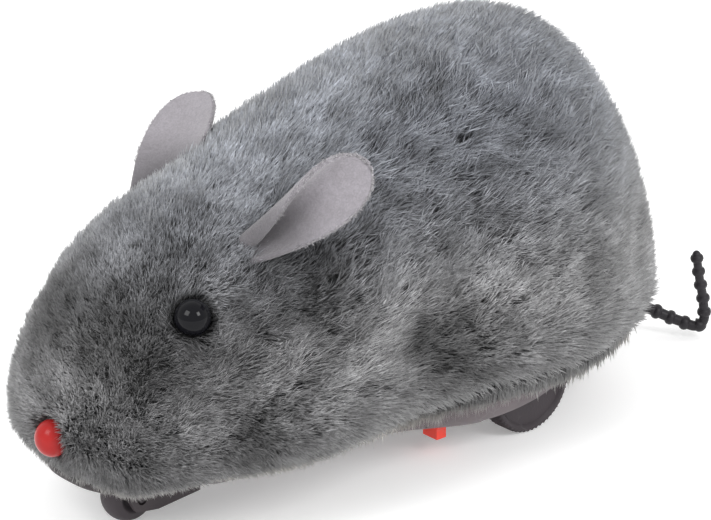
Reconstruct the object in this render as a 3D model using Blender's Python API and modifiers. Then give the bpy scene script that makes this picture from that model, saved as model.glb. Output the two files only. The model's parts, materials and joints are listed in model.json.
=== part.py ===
"""Plush-covered toy mouse on wheels: the construction model.

Metres, +Z up.  The mouse faces -Y and its left side is +X.  The floor is
z = 0, and the origin is the middle of the toy's footprint on the floor.

The plush body is an egg-shaped pile of cross-sections.  It is parted at the
neck seam and sits over a rounded tub, the chassis, which carries the driven
rear axle, a small front caster in a swivelling fork, the slide switch, the
battery door and the beaded tail.
"""
import math

import bmesh
import bpy
import numpy as np
from mathutils import Matrix, Vector

for old in list(bpy.data.objects):
    bpy.data.objects.remove(old, do_unlink=True)

# ---------------------------------------------------------------- dimensions
MM = 0.001
GAP = 0.3 * MM                       # clearance between touching pieces

# Plush body, measured out to the tips of the pile
BODY_MID = -8.4 * MM                 # y of the middle of the plush body
BODY_HALF = 65.7 * MM                # half its length
# half width, top and bottom at nine sections, equally spaced in angle from
# the tip of the muzzle to the back of the rump
BODY_SECTIONS = np.array([
    (0.0, 21.5, 21.5),
    (17.6, 37.6, 11.2),
    (25.4, 52.8, 8.4),
    (32.0, 61.2, 8.0),
    (32.8, 69.7, 8.5),
    (36.0, 74.2, 7.8),
    (29.5, 69.6, 8.0),
    (17.0, 44.5, 13.0),
    (0.0, 26.2, 26.2),
]) * MM
BODY_WAIST = 0.29                    # height share of the widest level
BODY_ROUND = (2.02, 2.17)            # superellipse powers above and below it
BODY_RINGS = 21
BODY_AROUND = 28

# Neck seam: a plane leaning back
NECK_POINT = Vector((0.0, -22.7, 32.0)) * MM
NECK_LEAN = math.radians(29.0)

# Face
EYE_RADIUS = 3.1 * MM
EYE_PLACES = {
    "left": Vector((17.0, -55.1, 42.5)) * MM,
    "right": Vector((-18.4, -52.2, 40.6)) * MM,
}
NOSE_RADIUS = 3.1 * MM
NOSE_PLACE = Vector((0.0, -72.2, 20.0)) * MM
NOSE_DIMPLE = 0.9 * MM               # how much wider its hollow in the plush is

# Felt ears
FELT = 1.0 * MM
EAR_LENGTH = 26.0 * MM
EAR_SUNK = 5.0 * MM                  # length hidden in the plush
EAR_HALF_BASE = 4.6 * MM             # half the blank's width at the root
EAR_HALF_WIDE = 6.6 * MM             # and at its widest
EAR_ROWS = 10
EAR_COLUMNS = 9
EAR_FULL = 0.65                      # share of the length where it is widest
EARS = {
    "left": dict(root=Vector((17.4, -38.6, 54.2)) * MM,
                 along=(0.655, 0.467, 0.594), facing=(0.62, -0.62, 0.45),
                 curls=((290.0, 45.0), (70.0, 10.0))),
    "right": dict(root=Vector((-14.2, -36.3, 52.7)) * MM,
                  along=(-0.465, 0.745, 0.478), facing=(0.02, -0.50, 0.87),
                  curls=((42.0, 14.0), (42.0, 14.0))),
}

# Chassis tub
TUB_FRONT = -68.4 * MM
TUB_REAR = 48.3 * MM
# y and half width, from under the muzzle to over the rear wheels
TUB_SECTIONS = np.array([
    (-70.0, 13.4),
    (-50.0, 13.3),
    (-35.0, 13.2),
    (-20.0, 14.4),
    (-7.5, 18.0),
    (2.5, 23.2),
    (12.5, 25.0),
    (24.5, 24.4),
    (50.0, 24.4),
]) * MM
TUB_NOSE = (26.0 * MM, 3.0)          # length and power of the rounded front
TUB_STERN = (37.0 * MM, 2.2)         # and of the rounded rear
TUB_BOTTOM = 6.0 * MM
TUB_STEP = 3.4 * MM                  # how far the bottom rises over the caster
TUB_STEP_Y = (-43.0 * MM, -56.0 * MM)  # where the rise begins and ends
TUB_DECK = 21.0 * MM
TUB_BILGE = 5.0 * MM                 # radius between bottom and side
RIM_OUT = 1.0 * MM                   # ledge that the plush is tucked over
RIM_HIGH = 1.2 * MM
TUB_AROUND = 38

# Rear axle and wheels
REAR_Y = 20.0 * MM
REAR_RADIUS = 9.1 * MM
REAR_OUTER = 20.1 * MM               # x of the wheel's outer face
REAR_WIDTH = 4.7 * MM
REAR_SIDES = 36
AXLE_RADIUS = 1.0 * MM
WELL_CLEAR = 1.2 * MM                # play between a wheel and its well
AXLE_PLAY = 0.5 * MM
SKIRT_FRONT = 5.5 * MM               # y where the skirt's cut-out starts
SKIRT_LOW = 7.4 * MM                 # z of the skirt's edge there
SKIRT_REAR = 34.5 * MM
SKIRT_HIGH = 11.2 * MM

# Front caster
PIVOT_Y = -52.7 * MM
CASTER_Y = -56.7 * MM
CASTER_RADIUS = 5.1 * MM
CASTER_WIDTH = 5.0 * MM
CASTER_SIDES = 20
CASTER_PIN = 0.7 * MM
CHEEK_INNER = 3.1 * MM
CHEEK_THICK = 1.1 * MM
FORK_RADIUS = 8.6 * MM
FORK_PLATE = (11.0 * MM, 12.2 * MM)  # z of the plate over the wheel
FORK_PIN = 1.8 * MM
FORK_TOP = 17.5 * MM
FORK_PLAY = 0.4 * MM
CASTER_WELL = 10.2 * MM
CASTER_HUB = 2.3 * MM                # radius of the hub's recess
CASTER_DISH = 0.8 * MM               # depth of it
CASTER_CROWN = 1.6 * MM              # radius of the tyre's round
CHEEK = [(3.6, 11.6), (3.6, 5.4), (8.6, 4.0), (8.6, 3.0), (-0.6, 2.3),
         (-5.2, 3.0), (-6.6, 5.4), (-6.6, 11.6)]     # y from the pivot, z

# Slide switch
KNOB_SIZE = Vector((3.8, 2.3, 3.0)) * MM     # the part that shows
KNOB_PLACE = Vector((14.5, 1.2, 6.0)) * MM  # its top middle, knob at rear
KNOB_TRAVEL = 2.6 * MM
KNOB_INSIDE = 2.0 * MM                       # its neck inside the chassis
KNOB_PLATE = Vector((6.4, 4.6, 1.0)) * MM    # the slider on that neck

# Battery door and screws
DOOR_SIZE = Vector((16.4, 38.0, 1.6)) * MM
DOOR_Y = -14.7 * MM
DOOR_SCREW_Y = DOOR_Y + DOOR_SIZE.y / 2 - 4.0 * MM
SCREW_HEAD = 1.7 * MM
SCREW_SHANK = 0.9 * MM
SCREW_LENGTH = 6.0 * MM
SCREW_SUNK = 0.5 * MM                # the heads lie this far inside
HEAD_HIGH = 1.1 * MM
HEAD_PLAY = 0.4 * MM                 # between a head and its counterbore
SCREW_PLACES = [(6.5, -39.8), (-6.5, -39.8), (8.5, 37.0), (-8.5, 37.0)]

# Tail: beads strung on a rod, moulded in one
TAIL_Z = 9.0 * MM
TAIL_PITCH = 2.9 * MM
TAIL_ROD = (1.25 * MM, 0.8 * MM)     # radius at the root and at the tip
TAIL_RING = (1.6 * MM, 1.25 * MM)    # the rings' radius there
RING_HALF = 0.75 * MM                # half a ring's length
TAIL_ROUTE = np.array([
    (0.0, 50.7, 9.0),
    (0.0, 56.5, 8.8),
    (1.3, 62.0, 7.5),
    (3.5, 67.2, 5.4),
    (6.0, 70.0, 3.7),
    (8.0, 71.7, 2.8),
    (9.7, 73.2, 2.4),
    (10.4, 74.1, 3.4),
    (10.4, 74.2, 5.4),
    (10.3, 73.9, 8.0),
    (10.1, 73.3, 11.0),
    (10.0, 72.6, 14.5),
    (10.0, 71.9, 18.2),
]) * MM
BOSS_RADIUS = 2.9 * MM
BOSS_END = 53.5 * MM

# ------------------------------------------------------------------ materials


def material(name, colour, roughness, metallic=0.0):
    """A plain Principled material."""
    made = bpy.data.materials.new(name)
    made.use_nodes = True
    shader = made.node_tree.nodes["Principled BSDF"]
    shader.inputs["Base Color"].default_value = (*colour, 1.0)
    shader.inputs["Roughness"].default_value = roughness
    shader.inputs["Metallic"].default_value = metallic
    made.diffuse_color = (*colour, 1.0)
    return made


PLUSH = material("grey_plush", (0.17, 0.175, 0.19), 0.95)
FELT_GREY = material("lilac_felt", (0.42, 0.40, 0.45), 0.95)
BLACK_GLASS = material("black_bead", (0.008, 0.008, 0.012), 0.08)
RED_GLOSS = material("red_nose", (0.50, 0.03, 0.03), 0.15)
TUB_PLASTIC = material("tub_plastic", (0.15, 0.13, 0.135), 0.42)
WHEEL_RUBBER = material("wheel_rubber", (0.07, 0.06, 0.068), 0.6)
FORK_PLASTIC = material("fork_plastic", (0.11, 0.095, 0.10), 0.5)
TAIL_VINYL = material("tail_vinyl", (0.02, 0.018, 0.022), 0.45)
RED_PLASTIC = material("red_plastic", (0.60, 0.06, 0.03), 0.45)
STEEL = material("steel", (0.55, 0.55, 0.57), 0.3, 1.0)

# ---------------------------------------------------------------- collections
TOY = bpy.data.collections.new("toy_mouse")
CUTTERS = bpy.data.collections.new("cutters")
for group in (TOY, CUTTERS):
    bpy.context.scene.collection.children.link(group)


def put(name, mesh, look=None):
    """Link a mesh as an object: a part if it has a look, else a cutter."""
    made = bpy.data.objects.new(name, mesh)
    if look is None:
        CUTTERS.objects.link(made)
        made.hide_render = True
        made.display_type = "WIRE"
    else:
        TOY.objects.link(made)
        mesh.materials.clear()
        mesh.materials.append(look)
    return made


def from_bmesh(name, bm, look=None, smooth=True):
    """Turn a bmesh into an object."""
    mesh = bpy.data.meshes.new(name)
    bm.to_mesh(mesh)
    bm.free()
    if smooth:
        mesh.shade_smooth()
        mesh.set_sharp_from_angle(angle=math.radians(35))
    return put(name, mesh, look)


def boolean(target, cutter, operation="DIFFERENCE"):
    """Add one exact Boolean modifier."""
    step = target.modifiers.new(cutter.name, "BOOLEAN")
    step.operation = operation
    step.solver = "EXACT"
    step.object = cutter


# ------------------------------------------------------------ shape functions
TO_X = Matrix.Rotation(math.radians(90), 4, "Y")
TO_Y = Matrix.Rotation(math.radians(-90), 4, "X")


def box(name, size, place, look=None):
    """A box of a given size about a middle point."""
    bm = bmesh.new()
    bmesh.ops.create_cube(bm, size=1.0)
    bmesh.ops.scale(bm, vec=size, verts=bm.verts)
    bmesh.ops.translate(bm, vec=place, verts=bm.verts)
    return from_bmesh(name, bm, look, smooth=False)


def rod(name, radius, length, place, look=None, turn=Matrix(), sides=20):
    """A closed cylinder about a middle point, along Z unless turned."""
    bm = bmesh.new()
    bmesh.ops.create_cone(bm, cap_ends=True, segments=sides, radius1=radius,
                          radius2=radius, depth=length)
    bmesh.ops.transform(bm, matrix=turn, verts=bm.verts)
    bmesh.ops.translate(bm, vec=place, verts=bm.verts)
    return from_bmesh(name, bm, look)


def ball(name, radii, place, look=None, around=16, rings=8):
    """An ellipsoid with its poles on Z."""
    bm = bmesh.new()
    bmesh.ops.create_uvsphere(bm, u_segments=around, v_segments=rings,
                              radius=1.0)
    bmesh.ops.scale(bm, vec=radii, verts=bm.verts)
    bmesh.ops.translate(bm, vec=place, verts=bm.verts)
    return from_bmesh(name, bm, look)


def turned(name, profile, place, look, sides):
    """A wheel turned about X from (radius, x) points, outer side first.

    The profile is a closed half-section.  The wheel has a flat under it, so
    its lowest line is exactly one radius below the axis.
    """
    bm = bmesh.new()
    flat = 1.0 / math.cos(math.pi / sides)
    points = [bm.verts.new((radius * flat, 0.0, x)) for radius, x in profile]
    bmesh.ops.spin(
        bm, geom=points + [bm.edges.new(pair)
                           for pair in zip(points[:-1], points[1:])],
        cent=(0, 0, 0), axis=(0, 0, 1), angle=2 * math.pi, steps=sides)
    bmesh.ops.remove_doubles(bm, verts=bm.verts, dist=1e-6)
    bmesh.ops.rotate(bm, verts=bm.verts, cent=(0, 0, 0),
                     matrix=Matrix.Rotation(math.pi / sides, 3, "Z"))
    bmesh.ops.transform(bm, matrix=TO_X, verts=bm.verts)
    bmesh.ops.recalc_face_normals(bm, faces=bm.faces)
    made = from_bmesh(name, bm, look)
    made.location = place
    return made


def prism(name, outline, x_from, x_to, look=None):
    """A (y, z) outline stretched along X between two planes."""
    bm = bmesh.new()
    base = [bm.verts.new((x_from, y, z)) for y, z in outline]
    face = bm.faces.new(base)
    side = bmesh.ops.extrude_face_region(bm, geom=[face])["geom"]
    moved = [part for part in side if isinstance(part, bmesh.types.BMVert)]
    bmesh.ops.translate(bm, vec=(x_to - x_from, 0, 0), verts=moved)
    bmesh.ops.recalc_face_normals(bm, faces=bm.faces)
    return from_bmesh(name, bm, look, smooth=False)


def loft(name, rings, look=None, mirrored=False):
    """A closed body over a stack of like rings, with flat or pointed ends.

    Where the first ring is mirrored about x = 0 and not flat, its end is
    closed by a strip between each pair of mirrored corners.
    """
    count = rings.shape[1]
    bm = bmesh.new()
    rows = [[bm.verts.new(point) for point in ring] for ring in rings]
    for low, high in zip(rows[:-1], rows[1:]):
        for i in range(count):
            j = (i + 1) % count
            bm.faces.new((low[i], low[j], high[j], high[i]))
    if mirrored:
        first = rows[0] + rows[0][:1]
        for i in range(count // 2):
            strip = [first[i + 1], first[i], first[count - i],
                     first[count - i - 1]]
            bm.faces.new(list(dict.fromkeys(strip)))
    else:
        bm.faces.new(rows[0][::-1])
    bm.faces.new(rows[-1])
    bmesh.ops.remove_doubles(bm, verts=bm.verts, dist=1e-6)
    bmesh.ops.recalc_face_normals(bm, faces=bm.faces)
    return from_bmesh(name, bm, look)


def spline(knots, values, at):
    """Natural cubic spline through (knots, values), read at a set of places."""
    step = np.diff(knots)
    count = len(knots)
    matrix = np.eye(count)
    right = np.zeros(count)
    for i in range(1, count - 1):
        matrix[i, i - 1:i + 2] = (step[i - 1], 2 * (step[i - 1] + step[i]),
                                  step[i])
        right[i] = 6 * ((values[i + 1] - values[i]) / step[i]
                        - (values[i] - values[i - 1]) / step[i - 1])
    bend = np.linalg.solve(matrix, right)
    i = np.clip(np.searchsorted(knots, at) - 1, 0, count - 2)
    a = (knots[i + 1] - at) / step[i]
    b = 1.0 - a
    return (a * values[i] + b * values[i + 1]
            + ((a ** 3 - a) * bend[i] + (b ** 3 - b) * bend[i + 1])
            * step[i] ** 2 / 6)


def power(value, exponent):
    """Signed power, which makes a superellipse of sines and cosines."""
    return np.sign(value) * np.abs(value) ** exponent


# ----------------------------------------------------------------- plush body
def body_profile(angle):
    """Half width, top and bottom of the plush at angles from muzzle to rump.

    The sections are mirrored past both ends, so that width runs through zero
    and top and bottom run level there: the ends come out round.
    """
    knots = np.linspace(0.0, math.pi, len(BODY_SECTIONS))
    before, after = slice(2, 0, -1), slice(-2, -4, -1)
    angles = np.concatenate([-knots[before], knots,
                             2 * math.pi - knots[after]])
    found = []
    for column, sign in zip(BODY_SECTIONS.T, (-1, 1, 1)):
        ends = np.concatenate([sign * column[before], column,
                               sign * column[after]])
        found.append(spline(angles, ends, angle))
    return found


def body_rings():
    """The plush body's cross-sections, as one (ring, point, xyz) array."""
    along = np.linspace(0.0, math.pi, BODY_RINGS + 2)
    along[0], along[-1] = 0.02, math.pi - 0.02
    around = np.linspace(0.0, 2 * math.pi, BODY_AROUND, endpoint=False)
    a, b = np.meshgrid(along, around, indexing="ij")
    half, top, bottom = body_profile(a)
    waist = bottom + BODY_WAIST * (top - bottom)
    upper = np.sin(b) >= 0.0
    exponent = np.where(upper, 2 / BODY_ROUND[0], 2 / BODY_ROUND[1])
    x = half * power(np.cos(b), exponent)
    z = waist + (np.where(upper, top - waist, waist - bottom)
                 * power(np.sin(b), exponent))
    return np.stack([x, BODY_MID - BODY_HALF * np.cos(a), z], axis=-1)


def neck_half(name, side):
    """A big box in front of the neck seam (side -1) or behind it (side 1)."""
    size = 0.2
    bm = bmesh.new()
    bmesh.ops.create_cube(bm, size=size)
    bmesh.ops.translate(bm, vec=(0, side * (size / 2 + GAP / 2), 0),
                        verts=bm.verts)
    bmesh.ops.rotate(bm, verts=bm.verts, cent=(0, 0, 0),
                     matrix=Matrix.Rotation(-NECK_LEAN, 3, "X"))
    bmesh.ops.translate(bm, vec=NECK_POINT, verts=bm.verts)
    return from_bmesh(name, bm, smooth=False)


# -------------------------------------------------------------------- chassis
def tub_half_width(y):
    """Half width of the tub's plan at each y."""
    half = spline(TUB_SECTIONS[:, 0], TUB_SECTIONS[:, 1], y)
    for end, sign, (length, round_off) in ((TUB_FRONT, -1, TUB_NOSE),
                                           (TUB_REAR, 1, TUB_STERN)):
        into = np.clip(1 + sign * (y - end) / length, 0.0, 1.0)
        half = half * (1 - into ** round_off) ** (1 / round_off)
    return half


def tub_plan():
    """The tub's plan as equally spaced points and their outward normals."""
    t = np.linspace(0.0, math.pi, 1500)
    y = (TUB_FRONT + TUB_REAR) / 2 - (TUB_REAR - TUB_FRONT) / 2 * np.cos(t)
    x = tub_half_width(y)
    run = np.concatenate([[0.0], np.cumsum(np.hypot(np.diff(x), np.diff(y)))])
    even = np.linspace(0.0, run[-1], TUB_AROUND // 2 + 1)
    right = np.stack([np.interp(even, run, x), np.interp(even, run, y)], -1)
    left = right[-2:0:-1] * (-1, 1)
    plan = np.concatenate([right, left])
    along = np.roll(plan, -1, axis=0) - np.roll(plan, 1, axis=0)
    normal = np.stack([along[:, 1], -along[:, 0]], axis=-1)
    return plan, normal / np.linalg.norm(normal, axis=1, keepdims=True)


def tub(name, grow, look=None, step=0.0):
    """The tub: a stack of plans, each set in or out, all grown a little.

    Its bottom and bilge rise by step over the caster.
    """
    turn = np.radians([0.0, 25.0, 50.0, 90.0])
    side = TUB_BOTTOM + TUB_BILGE
    levels = [(TUB_BOTTOM + TUB_BILGE * (1 - math.cos(a)),
               -TUB_BILGE * (1 - math.sin(a))) for a in turn]
    levels += [(side + 0.1 * MM, RIM_OUT), (side + RIM_HIGH, RIM_OUT),
               (side + RIM_HIGH + 0.2 * MM, 0.0),
               (TUB_DECK - 2.0 * MM, -0.5 * MM), (TUB_DECK, -2.5 * MM)]
    plan, normal = tub_plan()
    start, end = TUB_STEP_Y
    into = np.clip((plan[:, 1] - start) / (end - start), 0.0, 1.0)
    rise = step * into * into * (3 - 2 * into)
    rings = []
    for i, (z, out) in enumerate(levels):
        flat = plan + normal * (out + grow)
        shift = -grow if i <= len(turn) else grow
        share = max(0.0, (side - z) / TUB_BILGE)
        rings.append(np.column_stack([flat, z + shift + rise * share]))
    return loft(name, np.array(rings), look, mirrored=True)


def tail_boss(name, grow):
    """The round socket at the rear of the tub that holds the tail."""
    start = TUB_REAR - 8 * MM
    end = BOSS_END + grow
    return rod(name, BOSS_RADIUS + grow, end - start,
               (0, (start + end) / 2, TAIL_Z), turn=TO_Y)


def make_chassis():
    """The tub with its wheel wells, bores, switch slot and door recess."""
    chassis = tub("chassis", 0.0, TUB_PLASTIC, step=TUB_STEP)
    boolean(chassis, tail_boss("tail_boss", 0.0), "UNION")
    inner = REAR_OUTER - REAR_WIDTH - WELL_CLEAR
    outer = REAR_OUTER + WELL_CLEAR
    arch = [(SKIRT_FRONT, -MM), (SKIRT_FRONT, SKIRT_LOW),
            (SKIRT_REAR, SKIRT_HIGH), (SKIRT_REAR, -MM)]
    for side, sign in (("left", 1), ("right", -1)):
        boolean(chassis, prism(f"arch_{side}", arch, sign * inner,
                               sign * 2 * REAR_OUTER))
        well = rod(f"well_{side}", REAR_RADIUS + WELL_CLEAR, outer - inner,
                   (sign * (inner + outer) / 2, REAR_Y, REAR_RADIUS),
                   turn=TO_X, sides=32)
        boolean(chassis, well)
    half_travel = Vector((0, -KNOB_TRAVEL / 2, 0))
    cuts = [
        rod("axle_bore", AXLE_RADIUS + AXLE_PLAY, 2 * inner + MM,
            (0, REAR_Y, REAR_RADIUS), turn=TO_X, sides=16),
        rod("caster_well", CASTER_WELL, FORK_PLATE[1],
            (0, PIVOT_Y, FORK_PLATE[1] / 2 + FORK_PLAY), sides=32),
        rod("pin_bore", FORK_PIN + FORK_PLAY, FORK_TOP,
            (0, PIVOT_Y, FORK_TOP / 2 + FORK_PLAY), sides=20),
        box("switch_slot", KNOB_SIZE + Vector((0.8, 0.8, 7.0)) * MM
            + Vector((0, KNOB_TRAVEL, 0)), KNOB_PLACE + half_travel),
        box("switch_bay", KNOB_PLATE + Vector((1, 1, 1)) * MM
            + Vector((0, KNOB_TRAVEL, 0)),
            KNOB_PLACE + half_travel + Vector((0, 0, KNOB_INSIDE))),
        box("door_recess", DOOR_SIZE + Vector((2, 2, 2)) * GAP,
            Vector((0, DOOR_Y, TUB_BOTTOM + DOOR_SIZE.z / 2 - GAP))),
        rod("tail_bore", TAIL_RING[0] + GAP, 12 * MM,
            (0, TAIL_ROUTE[0, 1] - GAP + 6 * MM, TAIL_Z), turn=TO_Y,
            sides=16),
    ]
    for cut in cuts:
        boolean(chassis, cut)
    for number, (x, y) in enumerate(SCREW_PLACES, 1):
        boolean(chassis, screw_hole(f"hole_{number}", x * MM, y * MM))
    boolean(chassis, screw_hole("door_screw_bore", 0.0, DOOR_SCREW_Y))
    return chassis


def stepped(name, steps, place, look=None, sides=12):
    """A pin along Z made of (radius, z from, z to) steps, joined."""
    profile = []
    for radius, low, high in steps:
        profile += [(radius, low), (radius, high)]
    bm = bmesh.new()
    points = [bm.verts.new((r, 0, z))
              for r, z in [(0, profile[0][1])] + profile + [(0, profile[-1][1])]]
    edges = [bm.edges.new(pair) for pair in zip(points[:-1], points[1:])]
    bmesh.ops.spin(bm, geom=points + edges, cent=(0, 0, 0), axis=(0, 0, 1),
                   angle=2 * math.pi, steps=sides)
    bmesh.ops.remove_doubles(bm, verts=bm.verts, dist=1e-6)
    bmesh.ops.recalc_face_normals(bm, faces=bm.faces)
    bmesh.ops.translate(bm, vec=place, verts=bm.verts)
    return from_bmesh(name, bm, look)


def screw_hole(name, x, y):
    """Counterbore and bore for one screw, open at the bottom."""
    floor = SCREW_SUNK + HEAD_HIGH + GAP
    return stepped(name, [(SCREW_HEAD + HEAD_PLAY, -2 * MM, floor),
                          (SCREW_SHANK + GAP, floor, SCREW_LENGTH + MM)],
                   (x, y, TUB_BOTTOM))


def make_screws():
    """Four screws that hold the chassis and one that holds its door."""
    places = [(f"chassis_screw_{i}", x * MM, y * MM)
              for i, (x, y) in enumerate(SCREW_PLACES, 1)]
    places.append(("door_screw", 0.0, DOOR_SCREW_Y))
    for name, x, y in places:
        shoulder = SCREW_SUNK + HEAD_HIGH
        stepped(name, [(SCREW_HEAD, SCREW_SUNK, shoulder),
                       (SCREW_SHANK, shoulder, SCREW_LENGTH)],
                (x, y, TUB_BOTTOM), STEEL)


def make_door():
    """The battery door, flush in its recess, with a hole for its screw."""
    middle = Vector((0, DOOR_Y, TUB_BOTTOM + DOOR_SIZE.z / 2 - GAP))
    door = box("battery_door", DOOR_SIZE, middle, TUB_PLASTIC)
    boolean(door, rod("door_hole", SCREW_HEAD + HEAD_PLAY, 4 * DOOR_SIZE.z,
                      (0, DOOR_SCREW_Y, TUB_BOTTOM)))


# ------------------------------------------------------------- wheels, caster
def make_rear_wheels():
    """The steel axle and its two wheels, all turning together."""
    centre = Vector((0, REAR_Y, REAR_RADIUS))
    reach = REAR_OUTER - REAR_WIDTH - GAP
    axle = rod("rear_axle", AXLE_RADIUS, 2 * reach, (0, 0, 0), STEEL,
               turn=TO_X, sides=16)
    axle.location = centre
    bevel = 0.5 * MM
    dish = 0.5 * MM
    hub = 0.35 * REAR_RADIUS
    profile = [(0.0, REAR_OUTER), (hub, REAR_OUTER),
               (hub + dish, REAR_OUTER - dish),
               (REAR_RADIUS - 3 * bevel, REAR_OUTER - dish),
               (REAR_RADIUS - 2 * bevel, REAR_OUTER),
               (REAR_RADIUS - bevel, REAR_OUTER),
               (REAR_RADIUS, REAR_OUTER - bevel),
               (REAR_RADIUS, REAR_OUTER - REAR_WIDTH + bevel),
               (REAR_RADIUS - bevel, REAR_OUTER - REAR_WIDTH),
               (0.0, REAR_OUTER - REAR_WIDTH)]
    for name, sign in (("rear_wheel_left", 1), ("rear_wheel_right", -1)):
        points = [(radius, sign * x) for radius, x in profile]
        turned(name, points, centre, WHEEL_RUBBER, REAR_SIDES)


def make_caster():
    """The small front wheel with its pin, and the fork that swivels it."""
    centre = Vector((0, CASTER_Y, CASTER_RADIUS))
    half = CASTER_WIDTH / 2
    end = CHEEK_INNER + CHEEK_THICK - 0.1 * MM
    flare = 0.75 * CASTER_DISH
    tread = [(CASTER_RADIUS - CASTER_CROWN * (1 - math.cos(math.radians(a))),
              half * math.sin(math.radians(a)))
             for a in (62, 40, 18, -18, -40, -62)]
    face = [(0.0, end), (CASTER_PIN, end), (CASTER_PIN, half - CASTER_DISH),
            (CASTER_HUB, half - CASTER_DISH), (CASTER_HUB + flare, half)]
    profile = face + tread + [(radius, -x) for radius, x in face[::-1]]
    turned("caster_wheel", profile, centre, WHEEL_RUBBER, CASTER_SIDES)

    pivot = Vector((0, PIVOT_Y, 0))
    low, high = FORK_PLATE
    fork = stepped("caster_fork", [(FORK_RADIUS, low, high),
                                   (FORK_PIN, high, FORK_TOP)],
                   (0, 0, 0), FORK_PLASTIC, sides=20)
    fork.location = pivot
    outline = [(PIVOT_Y + y * MM, z * MM) for y, z in CHEEK]
    for side, sign in (("left", 1), ("right", -1)):
        plate = prism(f"cheek_{side}", outline, sign * CHEEK_INNER,
                      sign * (CHEEK_INNER + CHEEK_THICK))
        boolean(fork, plate, "UNION")
    boolean(fork, rod("caster_bore", CASTER_PIN + GAP, 4 * CHEEK_INNER, centre,
                      turn=TO_X, sides=16))


def make_switch():
    """The red knob under the chassis, on a slider that cannot fall out."""
    knob = box("switch_knob", KNOB_SIZE + Vector((0, 0, KNOB_INSIDE)),
               Vector((0, 0, (KNOB_INSIDE - KNOB_SIZE.z) / 2)), RED_PLASTIC)
    knob.location = KNOB_PLACE
    plate = box("switch_plate", KNOB_PLATE,
                KNOB_PLACE + Vector((0, 0, KNOB_INSIDE)))
    boolean(knob, plate, "UNION")


# ----------------------------------------------------------------- face, ears
def ear_points(root, along, facing, curls):
    """A felt ear's middle surface: a paddle rolled into a cone at its root.

    u runs from root to tip and v across, from the front margin (-1) to the
    rear one (1).  The blank's half width is w(u); each half of a section is
    an arc that turns through curl(u), so its radius is w / curl.
    """
    u = np.linspace(0.0, 1.0, EAR_ROWS)[:, None]
    v = np.linspace(-1.0, 1.0, EAR_COLUMNS)[None, :]
    swell = np.sin(0.5 * math.pi * np.clip(u / EAR_FULL, 0.0, 1.0))
    half = EAR_HALF_BASE + (EAR_HALF_WIDE - EAR_HALF_BASE) * swell
    half = half * np.sqrt(np.clip(1.0 - u ** 5, 0.0, 1.0))
    front, rear = curls
    start = np.where(v < 0, front[0], rear[0])
    end = np.where(v < 0, front[1], rear[1])
    curl = np.radians(start + (end - start) * u ** 0.7)
    side = np.sign(v) * half / curl * np.sin(np.abs(v) * curl)
    lift = half / curl * (1 - np.cos(np.abs(v) * curl))
    along = Vector(along).normalized()
    across = along.cross(Vector(facing)).normalized()
    up = across.cross(along)
    start_at = np.array(root) - np.array(along) * EAR_SUNK
    length = (u * EAR_LENGTH)[..., None] * np.ones((1, v.size, 1))
    return (start_at + length * np.array(along)
            + side[..., None] * np.array(across)
            + lift[..., None] * np.array(up))


def ear_sheet(name, points, look):
    """One ear: its middle surface thickened to the felt's thickness."""
    bm = bmesh.new()
    grid = [[bm.verts.new(p) for p in row] for row in points]
    for low, high in zip(grid[:-1], grid[1:]):
        for i in range(len(low) - 1):
            bm.faces.new((low[i], low[i + 1], high[i + 1], high[i]))
    bmesh.ops.remove_doubles(bm, verts=bm.verts, dist=1e-6)
    made = from_bmesh(name, bm, look)
    shell = made.modifiers.new("felt", "SOLIDIFY")
    shell.thickness = FELT
    shell.offset = 0.0
    return made


def ear_pocket(name, points):
    """The hollow in the plush for an ear: its hull, grown by a hair."""
    reach = FELT / 2 + 1.5 * GAP
    bm = bmesh.new()
    for point in points.reshape(-1, 3):
        for axis in range(3):
            for sign in (-1, 1):
                corner = point.copy()
                corner[axis] += sign * reach
                bm.verts.new(corner)
    bmesh.ops.convex_hull(bm, input=bm.verts)
    inside = [vertex for vertex in bm.verts if not vertex.link_faces]
    bmesh.ops.delete(bm, geom=inside, context="VERTS")
    return from_bmesh(name, bm)


def make_plush():
    """Head and trunk: the body parted at the neck, cut for what it holds."""
    rings = body_rings()
    hull = tub("hull_clearance", GAP)
    head = loft("plush_head", rings, PLUSH)
    trunk = loft("plush_trunk", rings, PLUSH)
    for piece, side in ((head, -1), (trunk, 1)):
        boolean(piece, neck_half(f"{piece.name}_half", side), "INTERSECT")
        boolean(piece, hull)
    boolean(trunk, tail_boss("boss_clearance", GAP))
    for name in ("left", "right"):
        place = EYE_PLACES[name]
        ball(f"eye_{name}", Vector((1, 1, 1)) * EYE_RADIUS, place, BLACK_GLASS)
        boolean(head, ball(f"socket_{name}",
                           Vector((1, 1, 1)) * (EYE_RADIUS + GAP), place))
        points = ear_points(**EARS[name])
        ear_sheet(f"ear_{name}", points, FELT_GREY)
        boolean(head, ear_pocket(f"pocket_{name}", points))
    ball("nose", Vector((1, 0.95, 1.05)) * NOSE_RADIUS, NOSE_PLACE, RED_GLOSS)
    boolean(head, ball("nose_socket", Vector((1, 0.95, 1.05))
                       * (NOSE_RADIUS + NOSE_DIMPLE), NOSE_PLACE))


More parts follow.
